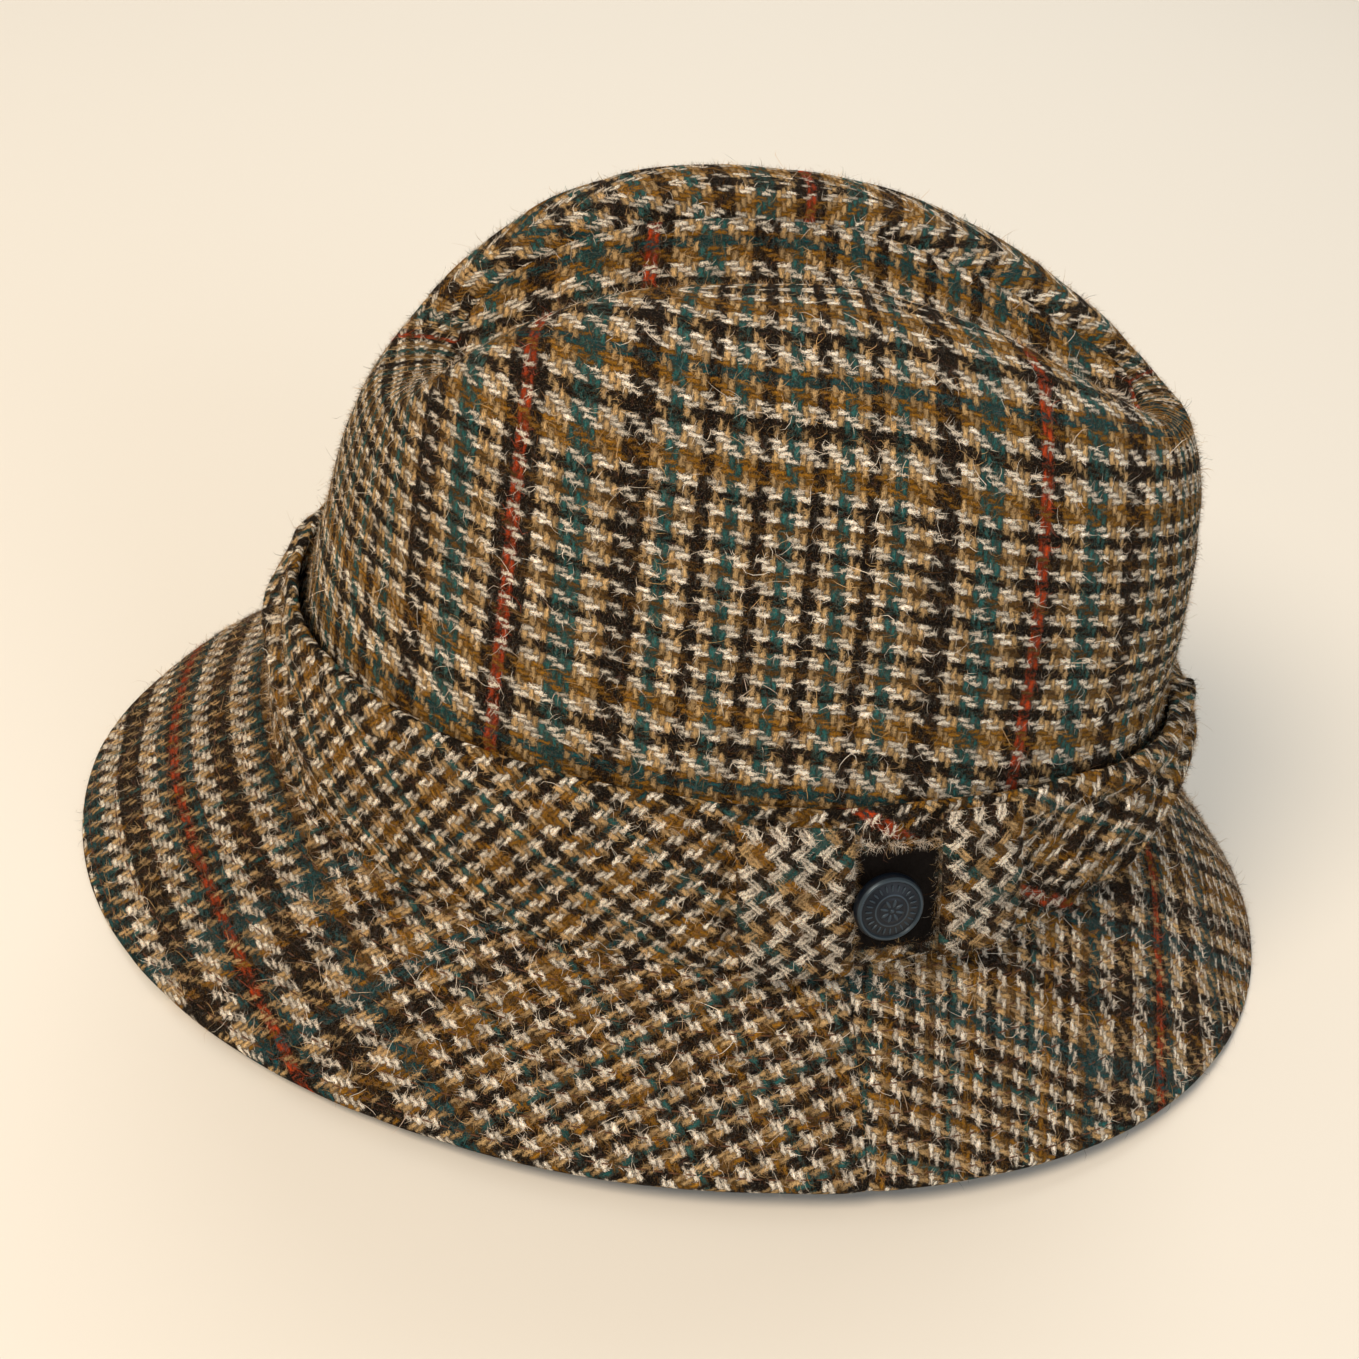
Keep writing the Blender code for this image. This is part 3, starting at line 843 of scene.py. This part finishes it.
@dataclass
class Crown:
    """The crown: one side wall rolled over at the ridge, and the dented tip sewn inside it."""

    form: CrownForm
    tweed: Tweed
    columns: int = 401
    rows: int = 76
    roll_rows: int = 9
    roll_inset: float = 4.2 * MM
    roll_from: float = 0.972
    grain_centre: tuple[float, float] = (40.3, -39.97)
    teal_at: float = -14.0 * MM
    tip_shift: float = 119.0
    faces: list[Sheet] = field(default_factory=list)

    def grain(self, angles: np.ndarray, points: np.ndarray) -> np.ndarray:
        """Lay the cloth's own millimetres on the side, as its cutter laid them.

        Args:
            angles: The angle of each column.
            points: Rows by columns of the outer face.

        Returns:
            Warp and weft places in millimetres.
        """
        ring = self.form.side(angles, np.full_like(angles, 0.35))
        u = run_length(ring, 0) / MM
        u = (u - np.interp(0.0, angles, u))[None, :]
        v = run_length(points, 0) / MM
        crest = v[self.rows + 3]
        v = crest - np.abs(v - crest)
        lean = 0.052 + 0.0016 * np.maximum(u - 45, 0)
        sag = 0.26 * (np.sqrt((u - 14) ** 2 + 256) + (u - 14)) / 2 - 0.75
        return np.stack([u + lean * (v - 85) + self.grain_centre[0],
                         v + sag + self.grain_centre[1]], -1)

    def side(self) -> Sheet:
        """Lay the side wall, with its upper rim rolled over the ridge."""
        angles = ring_angles(self.columns)
        shares = np.linspace(0, self.roll_from, self.rows)
        wall = self.form.side(*np.meshgrid(angles, shares))
        near, corner = wall[-1], self.form.side(angles, np.ones_like(angles))
        far = self.form.tip(angles, np.ones_like(angles), self.roll_inset)
        steps = np.linspace(0, 1, self.roll_rows + 1)[1:, None, None]
        roll = near * (1 - steps) ** 2 + corner * 2 * steps * (1 - steps) + far * steps ** 2
        points = np.concatenate([wall, roll])
        sheet = Sheet(points, self.grain(angles, points), ring=True)
        sheet.lift((0.45 * ripple(points, 0.045, 3) + 0.16 * ripple(points, 0.013, 4)) * MM
                   * fade(sheet))
        return sheet

    def tip(self) -> Sheet:
        """Lay the dented tip from the sewn line to its middle."""
        columns = self.columns // 2 + 1
        angles = ring_angles(columns)
        reach = np.concatenate([np.linspace(1, 0.08, 40), [0.002]])
        points = self.form.tip(*np.meshgrid(angles, reach), self.roll_inset + 0.25 * MM)
        across = np.linspace(-self.form.tip_half_width, self.form.tip_half_width, 201)
        slope = 1.7 * self.form.dent / self.form.tip_half_width * (
            np.abs(across) / self.form.tip_half_width) ** 0.7
        length = np.concatenate([[0], np.cumsum(np.hypot(1, (slope[1:] + slope[:-1]) / 2)
                                                * np.diff(across))])
        over = np.interp(points[..., 0], across, length - np.interp(self.teal_at, across, length))
        cloth = np.stack([points[..., 1] / MM + self.tip_shift, 1.1 - over / MM], -1)
        sheet = Sheet(points, cloth, ring=True)
        dip = np.clip((reach[:, None] - 0.9) / 0.1, 0, 1) ** 2 * np.ones(columns)
        sheet.lift((0.4 * ripple(points, 0.035, 5) * fade(sheet) - 0.5 * dip) * MM)
        return sheet

    def build(self) -> None:
        """Build and dress both pieces."""
        side, tip = self.side(), self.tip()
        self.faces = [side, tip]
        finish = self.tweed.material(CROWN_CHECK)
        dress(lay("crown_side_cloth", side.folded(self.form.wall)), [finish],
              ["crown_side"])
        dress(lay("crown_tip_cloth", tip.folded(self.form.wall)), [finish],
              ["crown_tip"])


def fade(sheet: Sheet, rows: int = 6) -> np.ndarray:
    """Give a weight that falls to zero at the sheet's first and last rows."""
    count = sheet.points.shape[0]
    place = np.minimum(np.arange(count), count - 1 - np.arange(count)) / rows
    weight = np.clip(place, 0, 1)[:, None] * np.ones(sheet.points.shape[1])
    if sheet.ring:
        columns = sheet.points.shape[1]
        edge = np.minimum(np.arange(columns), columns - 1 - np.arange(columns)) / rows
        weight = weight * np.clip(edge, 0, 1)[None, :]
    return weight


@dataclass
class Brim:
    """The brim's front and back pieces, with rows of topstitching."""

    form: BrimForm
    tweed: Tweed
    columns: int = 301
    rows: int = 40
    hem: float = 0.972
    stitch_rows: tuple[float, ...] = (0.10, 0.22, 0.34, 0.46, 0.58, 0.70, 0.82, 0.94)
    faces: list[Sheet] = field(default_factory=list)

    def grain(self, angles: np.ndarray, shares: np.ndarray, centre: float) -> np.ndarray:
        """Roll the brim piece out flat, and give each of its points there in millimetres."""
        foot = self.form.face(angles, np.zeros_like(angles)) / MM
        edge = self.form.face(angles, np.ones_like(angles)) / MM
        width = np.linalg.norm(edge - foot, axis=1)
        foot_step = np.r_[0, np.linalg.norm(np.diff(foot, axis=0), axis=1)]
        edge_step = np.r_[0, np.linalg.norm(np.diff(edge, axis=0), axis=1)]
        turn = np.cumsum((edge_step - foot_step) / width)
        turn -= np.interp(centre, angles, turn)
        x, y = np.cumsum(foot_step * np.cos(turn)), -np.cumsum(foot_step * np.sin(turn))
        x, y = x - np.interp(centre, angles, x), y - np.interp(centre, angles, y)
        out = width * shares[:, None]
        return np.stack([x + np.sin(turn) * out, y + np.cos(turn) * out], -1)

    def panel(self, start: float, finish: float, centre: float, front: bool) -> Sheet:
        """Lay one piece of the brim from seam to seam."""
        angles = np.linspace(start, finish, self.columns)
        shares = np.linspace(self.hem, 0, self.rows)
        points = self.form.face(*np.meshgrid(angles, shares))
        flat = self.grain(angles, shares, centre)
        turn = math.radians(10.8 if front else 27.0)
        u = flat[..., 0] * math.cos(turn) - flat[..., 1] * math.sin(turn)
        v = flat[..., 0] * math.sin(turn) + flat[..., 1] * math.cos(turn)
        if front:
            v = v - 6 * np.exp(-((u - 90) / 45) ** 2) * np.clip((50 - v) / 32, 0, 1)
        else:
            v = v + 42.4
            u = u + 150 + 0.2 * np.minimum(v - 10, 0)
        sheet = Sheet(points, np.stack([u + 20.8, v - 8.0], -1))
        length = run_length(points[-1:], 1) / MM
        seam = np.minimum(length, length[:, -1:] - length)
        tuck = np.exp(-(seam / 1.6) ** 2) * np.ones((self.rows, 1))
        rows = sum(np.exp(-((shares - at) * 44 / 0.55) ** 2) for at in self.stitch_rows)
        soft = 0.5 * ripple(points, 0.05, 7) + 0.18 * ripple(points, 0.014, 8)
        edge = np.clip(shares / 0.1, 0, 1)[:, None]
        sheet.lift((soft * edge * (1 - tuck) * fade(sheet, 3) - 0.6 * tuck
                    - 0.22 * rows[:, None] * edge) * MM)
        return sheet

    def stitches(self, panels: Sequence[Sheet]) -> bpy.types.Object:
        """Sew rows of thread along the brim, as one joined mesh."""
        places, ways, ups = [], [], []
        pitch = 3.4 * MM
        for sheet in panels:
            shares = np.linspace(self.hem, 0, self.rows)
            for at in self.stitch_rows:
                row = int(np.argmin(np.abs(shares - at)))
                line = sheet.points[row]
                length = run_length(line, 0)
                spots = np.arange(pitch, length[-1] - pitch, pitch)
                spot = np.stack([np.interp(spots, length, line[:, k]) for k in range(3)], -1)
                up = np.stack([np.interp(spots, length, sheet.normals[row][:, k])
                               for k in range(3)], -1)
                places.append(spot)
                ups.append(unit(up))
                ways.append(unit(np.gradient(spot, axis=0)))
        place, way, up = (np.concatenate(part) for part in (places, ways, ups))
        side = np.cross(up, way)
        ring = [(math.cos(t), math.sin(t)) for t in np.linspace(0, FULL_TURN, 6)[:-1]]
        sections = ((-1.15, 0.10, -0.10), (-0.8, 0.17, 0.07), (0.0, 0.19, 0.13),
                    (0.8, 0.17, 0.07), (1.15, 0.10, -0.10))
        points = []
        for along, radius, lift in sections:
            centre = place + way * along * MM + up * lift * MM
            for c, s in ring:
                points.append(centre + (side * c + up * s) * radius * MM)
        block = np.stack(points, 1)
        count, each = block.shape[:2]
        quads = [(a * 5 + i, a * 5 + (i + 1) % 5, (a + 1) * 5 + (i + 1) % 5, (a + 1) * 5 + i)
                 for a in range(4) for i in range(5)]
        faces = (np.arange(count)[:, None, None] * each + np.array(quads)[None]).reshape(-1, 4)
        caps = (np.arange(count)[:, None, None] * each
                + np.array([[4, 3, 2, 1, 0], [20, 21, 22, 23, 24]])[None]).reshape(-1, 5)
        mesh = bpy.data.meshes.new("brim_topstitching")
        mesh.from_pydata(block.reshape(-1, 3).tolist(), [], faces.tolist() + caps.tolist())
        mesh.update()
        return stand("brim_topstitching", mesh)

    def build(self) -> None:
        """Build and dress the two pieces and their stitching."""
        seam, gap = self.form.seam, 0.0013
        front = self.panel(-math.pi - seam + gap, seam - gap, -math.pi / 2, True)
        back = self.panel(seam + gap, math.pi - seam - gap, math.pi / 2, False)
        self.faces = [front, back]
        finish = self.tweed.material(BRIM_CHECK)
        dress(lay("brim_front_cloth", front.folded(self.form.wall)), [finish],
              ["brim_front"])
        dress(lay("brim_back_cloth", back.folded(self.form.wall)), [finish],
              ["brim_back"])
        dress(self.stitches(self.faces), [THREAD.material()])


@dataclass
class Band:
    """The bias-cut band, folded double, with its soft puckers."""

    form: BandForm
    tweed: Tweed
    columns: int = 701
    rows: int = 34
    bias: float = math.radians(-58)
    folds: tuple[tuple[float, ...], ...] = (
        (-1.8, 0.0, -5.8, 1.0, 1.3, -1.6), (33.5, 0.0, 29.5, 0.95, 1.3, -1.5),
        (36, 0.02, 41, 0.80, 2.2, 2.2), (38, 0.05, 45, 0.92, 1.2, -1.4),
        (42, 0.04, 50, 0.88, 2.4, 2.4), (47, 0.10, 56, 0.80, 1.3, -1.6),
        (52, 0.06, 64, 0.64, 2.8, 2.0), (59, 0.05, 72, 0.52, 1.4, -1.3),
        (46, 0.95, 84, 0.72, 2.8, 3.0), (43, 0.80, 80, 0.53, 1.4, -1.8),
        (24, 0.96, 44, 0.93, 1.5, 1.4), (-106, 0.93, -86, 0.66, 3.4, 2.8),
        (-84, 0.80, -68, 0.60, 1.6, -1.5), (-82, 0.60, -60, 0.36, 2.6, 1.6),
        (-62, 0.94, -36, 0.86, 1.8, 1.2), (9, 0.95, 22, 0.95, 1.9, 1.7),
        (8, 0.06, 23, 0.06, 1.9, 1.5), (-30, 0.10, -22, 0.85, 2.2, 0.8),
        (118, 0.10, 128, 0.85, 2.6, 1.2), (200, 0.15, 212, 0.85, 2.6, 1.0))
    faces: list[Sheet] = field(default_factory=list)

    def creases(self, angles: np.ndarray, shares: np.ndarray, along: np.ndarray,
                up: np.ndarray) -> np.ndarray:
        """Raise the folds: round ridges and narrow grooves along straight lines.

        Each fold has the angle and share where it starts, the same where it ends, its half width
        and its height, in degrees and millimetres.

        Args:
            angles: The angle of each column.
            shares: The share of the band's height of each row.
            along: Millimetres along the band of each column.
            up: Millimetres up the band of each point.

        Returns:
            The height of the folds in millimetres, at each point.
        """
        total = np.zeros_like(up)
        place = np.stack([along[None, :] * np.ones_like(up), up], -1)
        for first, low, last, high, width, height in self.folds:
            turns = np.radians([first, last])
            turns = np.where(turns > 0.5 * math.pi, turns - FULL_TURN, turns)
            ends = np.stack([np.interp(turns, angles, along),
                             np.interp([low, high], shares, up.mean(axis=1))], -1)
            way = ends[1] - ends[0]
            reach = (place - ends[0]) @ way / (way @ way)
            nearest = ends[0] + np.clip(reach, 0, 1)[..., None] * way
            far = np.linalg.norm(place - nearest, axis=-1)
            total += height * np.exp(-(far / width) ** 2)
        return total

    def build(self) -> None:
        """Build and dress the band."""
        angles = ring_angles(self.columns)
        shares = np.linspace(0, 1, self.rows)
        angle, share = np.meshgrid(angles, shares)
        points = self.form.point(angle, share, np.full_like(angle, self.form.wall))
        u = run_length(points[self.rows // 2], 0) / MM
        u = (u - np.interp(0.0, angles, u))[None, :] * np.ones((self.rows, 1))
        v = run_length(points, 0) / MM
        c, s = math.cos(self.bias), math.sin(self.bias)
        sheet = Sheet(points, np.stack([u * c - v * s + 300, u * s + v * c + 300], -1), ring=True)
        soft = 0.6 * ripple(points, 0.03, 11) + 0.2 * ripple(points, 0.01, 12)
        sheet.lift((soft + self.creases(angles, shares, u[0], v)) * MM * fade(sheet, 3))
        self.faces = [sheet]
        dress(lay("band_cloth", sheet.folded(self.form.wall)),
              [self.tweed.material(BAND_CHECK)], ["band"])


@dataclass
class Bow:
    """The bow: two flat loops on the band, the dark patch between them and the button on it."""

    form: BandForm
    tweed: Tweed
    wall: float = 0.0048
    window_width: float = 0.0183
    window_height: float = 0.026
    front_width: float = 0.0235
    rear_width: float = 0.018
    patch_wall: float = 0.0012
    button_radius: float = 0.0073
    button_offset: float = -0.0034
    button_raise: float = 0.525
    button_height: float = 0.0036
    button_tilt: float = math.radians(16)
    shank_radius: float = 0.0022
    faces: list[Sheet] = field(default_factory=list)
    felt: Optional[Sheet] = None

    def loop(self, name: str, node: str, start: float, finish: float, low: float, high: float,
             shift: float, finish_material: bpy.types.Material) -> None:
        """Fold one loop: a flat tube of cloth lying on the band.

        Args:
            name: The piece's name.
            node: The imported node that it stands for.
            start: Where it begins along the band, in metres from the bow's middle.
            finish: Where it ends.
            low: Its lower end, as a share of the band's height.
            high: Its upper end.
            shift: Where the check begins on it, in millimetres.
            finish_material: Its cloth.
        """
        across = np.linspace(0, 1, 40)
        up = np.linspace(0, 1, 48)
        a, b = np.meshgrid(across, up)
        swell = (1 - np.abs(2 * a - 1) ** 5) ** 0.5 * (1 - np.abs(2 * b - 1) ** 9) ** 0.5
        along, share = start + (finish - start) * a, low + (high - low) * b
        face = self.form.bow(along, share, 0.5 * self.wall * (1 + swell))
        width, height = (finish - start) / MM, self.form.height * (high - low) / MM
        u, v = a * width, b * height
        slant = math.radians(-45)
        cloth = np.stack([u * math.cos(slant) - v * math.sin(slant) + shift,
                          u * math.sin(slant) + v * math.cos(slant) + shift + 50], -1)
        sheet = Sheet(face, cloth)
        sheet.lift(0.25 * ripple(face, 0.012, 21) * MM * swell)
        rear = self.form.bow(along, share, 0.5 * self.wall * (1 - swell))
        rows, weave = np.concatenate([sheet.points, rear[::-1]]), np.concatenate(
            [cloth, cloth[::-1]])
        rows = np.concatenate([rows, rows[:1]])
        weave = np.concatenate([weave, weave[:1]])
        self.faces.append(sheet)
        dress(lay(name, Sheet(rows, weave)), [finish_material], [node])

    def patch(self) -> None:
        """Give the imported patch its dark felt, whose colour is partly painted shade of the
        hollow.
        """
        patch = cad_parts["bow_patch"]
        patch.data.materials.clear()
        patch.data.materials.append(DARK_FELT_AND_PAINTED_SHADE.material())
        half, tall = self.window_width / 2, self.window_height / self.form.height / 2
        along, share = np.meshgrid(np.linspace(-half, half, 12),
                                   np.linspace(0.5 - tall, 0.5 + tall, 14))
        out = np.full_like(along, self.patch_wall)
        self.felt = Sheet(self.form.bow(along, share, out), np.stack([along, share], -1) / MM)

    def fringe(self) -> list[Sheet]:
        """Give narrow strips round the window, where the cut cloth frays over the patch."""
        half, tall = self.window_width / 2, self.window_height / self.form.height / 2
        edge = 0.7 * MM
        strips = []
        for along, share in (((-half, half), (0.5 + tall - 0.02, 0.5 + tall + 0.02)),
                             ((-half, half), (0.5 - tall - 0.02, 0.5 - tall + 0.02)),
                             ((-half - edge, -half + edge), (0.5 - tall, 0.5 + tall)),
                             ((half - edge, half + edge), (0.5 - tall, 0.5 + tall))):
            a, b = np.meshgrid(np.linspace(*along, 12), np.linspace(*share, 12))
            place = self.form.bow(a, b, np.full_like(a, self.patch_wall * 0.8))
            strips.append(Sheet(place, np.stack([a / MM + 300, b * 38 + 300], -1)))
        return strips

    def button(self) -> None:
        """Turn the button, raise its rim and beads, and stand it on the patch."""
        radius, height = self.button_radius, self.button_height
        shank = math.sin(self.button_tilt) * radius + self.form.gap
        profile = [(0.0, 1.0), (0.18, 0.985), (0.30, 0.965), (0.33, 0.985), (0.36, 0.955),
                   (0.42, 0.935), (0.45, 0.955), (0.49, 0.945),
                   (0.52, 0.90), (0.78, 0.77), (0.83, 0.76), (0.86, 0.86), (0.91, 0.86),
                   (0.96, 0.74), (1.0, 0.45), (0.99, 0.25), (0.92, 0.06), (0.80, 0.0)]
        points = [(x * radius, 0.0, shank + z * height) for x, z in profile]
        points += [(self.shank_radius, 0.0, shank), (self.shank_radius, 0.0, 0.0), (0.0, 0.0, 0.0)]
        mesh = bpy.data.meshes.new("button_disc")
        mesh.from_pydata(points, [(i, i + 1) for i in range(len(points) - 1)], [])
        piece = stand("button_disc", mesh)
        bpy.ops.object.select_all(action="DESELECT")
        bpy.context.view_layer.objects.active = piece
        piece.select_set(True)
        bpy.ops.object.mode_set(mode="EDIT")
        bpy.ops.mesh.select_all(action="SELECT")
        bpy.ops.mesh.spin(steps=64, angle=FULL_TURN, center=(0, 0, 0), axis=(0, 0, 1))
        bpy.ops.mesh.select_all(action="SELECT")
        bpy.ops.mesh.remove_doubles(threshold=1e-6)
        bpy.ops.mesh.normals_make_consistent(inside=False)
        bpy.ops.object.mode_set(mode="OBJECT")
        bpy.ops.object.shade_smooth_by_angle(angle=math.radians(35))
        for face in piece.data.polygons:
            spot = face.center
            out = math.hypot(spot.x, spot.y) / radius
            worn = 0.84 < out < 0.94 and spot.z > shank + 0.5 * height or 0.44 < out < 0.50
            face.material_index = 1 if worn else 0
        beads = [piece]
        enamel, worn = ENAMEL.material(), WORN_RIM.material()
        piece.data.materials.append(enamel)
        piece.data.materials.append(worn)
        # A plain rosette of petals inside a ring of rays: how many beads, where, and their shape
        for count, middle, rise, shape in ((24, 0.645, 0.85, (3.0, 0.75, 0.75)),
                                           (8, 0.23, 0.965, (3.4, 1.25, 0.9)),
                                           (1, 0.0, 0.985, (1.7, 1.7, 1.0))):
            for k in range(count):
                turn = FULL_TURN * k / count
                spot = Vector((math.cos(turn), math.sin(turn), 0)) * radius * middle
                bpy.ops.mesh.primitive_uv_sphere_add(segments=12, ring_count=6, radius=0.28 * MM)
                bead = bpy.context.object
                bead.data.materials.append(worn)
                bead.data.transform(Matrix.Translation(spot + Vector((0, 0, shank + rise * height)))
                                    @ Matrix.Rotation(turn, 4, "Z")
                                    @ Matrix.Diagonal((*shape, 1)))
                bpy.ops.object.shade_smooth()
                beads.append(bead)
        bpy.ops.object.select_all(action="DESELECT")
        for item in beads:
            item.select_set(True)
        bpy.context.view_layer.objects.active = piece
        bpy.ops.object.join()
        seat = self.form.bow(np.array([self.button_offset]), np.array([self.button_raise]),
                             np.array([self.patch_wall + self.form.gap]))[0]
        inner = self.form.bow(np.array([self.button_offset]), np.array([self.button_raise]),
                              np.array([0.0]))[0]
        level = Vector(seat - inner)
        level.z = 0
        axis = (level.normalized() * math.cos(self.button_tilt)
                + Vector((0, 0, math.sin(self.button_tilt))))
        turn = Vector((0, 0, 1)).rotation_difference(axis).to_matrix().to_4x4()
        piece.data.transform(Matrix.Translation(Vector(seat)) @ turn)
        dress(piece, [], ["button"])

    def build(self) -> None:
        """Build and dress the bow."""
        finish = self.tweed.material(BOW_CHECK)
        half = self.window_width / 2
        self.loop("bow_loop_front_cloth", "bow_loop_front", -half - self.front_width, -half,
                  0.01, 0.99, 21.0, finish)
        self.loop("bow_loop_rear_cloth", "bow_loop_rear", half, half + self.rear_width,
                  0.06, 1.04, 63.0, finish)
        self.patch()
        self.button()


@dataclass(frozen=True)
class Studio:
    """A pale floor, soft lights and the photograph's camera."""

    azimuth: float = math.radians(80.34)
    elevation: float = math.radians(35.79)
    roll: float = math.radians(11.54)
    distance: float = 0.47078
    focal_pixels: float = 2000.0
    frame_pixels: float = 1359.0
    target: tuple[float, float, float] = (0.0, -0.00943, 0.04786)

    def camera(self) -> None:
        """Place the camera where the photograph was taken from."""
        toward = Vector((-math.sin(self.azimuth) * math.cos(self.elevation),
                         math.cos(self.azimuth) * math.cos(self.elevation),
                         -math.sin(self.elevation)))
        right = toward.cross(Vector((0, 0, 1))).normalized()
        up = right.cross(toward)
        turned = math.cos(self.roll) * right + math.sin(self.roll) * up
        upright = -math.sin(self.roll) * right + math.cos(self.roll) * up
        data = bpy.data.cameras.new("camera")
        data.sensor_width = 36.0
        data.lens = 36.0 * self.focal_pixels / self.frame_pixels
        data.clip_start = 0.01
        camera = stand("camera", data)
        axes = Matrix((turned, upright, -toward)).transposed().to_4x4()
        place = Vector(self.target) - toward * self.distance
        camera.matrix_world = Matrix.Translation(place) @ axes
        bpy.context.scene.camera = camera

    def lights(self) -> None:
        """Hang a large window-like key, a fill and a pale sky."""
        for name, place, size, power, colour in (
                ("key", (0.75, -0.9, 1.35), 0.7, 24.0, "#FFEBD2"),
                ("fill", (1.2, 0.9, 0.7), 1.2, 7.5, "#E2EBF7"),
                ("back", (-1.0, 0.3, 1.2), 0.8, 8.0, "#F4F2EE")):
            data = bpy.data.lights.new(name, "AREA")
            data.shape, data.size, data.energy = "DISK", size, power
            data.color = linear(colour)[:3]
            light = stand(name, data)
            light.location = place
            way = Vector((0, 0, 0.06)) - Vector(place)
            light.rotation_euler = way.to_track_quat("-Z", "Y").to_euler()
        world = bpy.data.worlds.new("pale sky")
        world.use_nodes = True
        sky = world.node_tree.nodes["Background"]
        sky.inputs["Color"].default_value = linear("#F1EEE8")
        sky.inputs["Strength"].default_value = 0.44
        bpy.context.scene.world = world
        bpy.context.scene.view_settings.view_transform = "Standard"

    def floor(self) -> None:
        """Lay the pale floor."""
        bpy.ops.object.select_all(action="DESELECT")
        bpy.ops.mesh.primitive_plane_add(size=8)
        floor = bpy.context.object
        floor.name = "floor"
        floor.data.materials.append(PlainFinish("matt pale paint", "#E9E4DA", 0.9).material())

    def build(self) -> None:
        """Set up the studio."""
        self.camera()
        self.lights()
        self.floor()


def main() -> None:
    """Build the hat's looks, piece by piece, and the studio round it."""
    logging.basicConfig(level=logging.INFO, format="%(message)s")
    crown_form = CrownForm()
    tweed = Tweed()
    crown = Crown(crown_form, tweed)
    brim = Brim(BrimForm(crown_form), tweed)
    band = Band(BandForm(crown_form), tweed)
    bow = Bow(BandForm(crown_form), tweed)
    for part in (crown, brim, band, bow):
        part.build()
    crown_wool, brim_wool, band_wool, bow_wool = (
        tweed.material(check, loose=True)
        for check in (CROWN_CHECK, BRIM_CHECK, BAND_CHECK, BOW_CHECK))
    for name, fibres, faces, finish, slot in (
            ("crown_fibres", Fibres(20000, 31, fluff=94000), crown.faces, crown_wool, "tweed"),
            ("brim_fibres", Fibres(18000, 32, fluff=86000), brim.faces, brim_wool, "tweed"),
            ("band_fibres", Fibres(8000, 33, fluff=44000), band.faces, band_wool, "tweed"),
            ("bow_fibres", Fibres(1100, 34, longest=3.5 * MM, standing=0.15, fluff=5000),
             bow.faces, bow_wool, "tweed"),
            # The patch's fibres take its dark felt, whose colour is partly painted shade
            ("patch_fibres", Fibres(700, 35, longest=4.0 * MM, fluff=2500),
             [bow.felt], DARK_FELT_AND_PAINTED_SHADE.material(), "dark_cloth"),
            ("window_fibres", Fibres(500, 36, longest=4.5 * MM, standing=0.2, fluff=2600),
             bow.fringe(), band_wool, "tweed")):
        dress(fibres.grow(name, faces), [finish])
    Studio().build()
    bpy.context.view_layer.update()


if __name__ == "__main__":
    main()
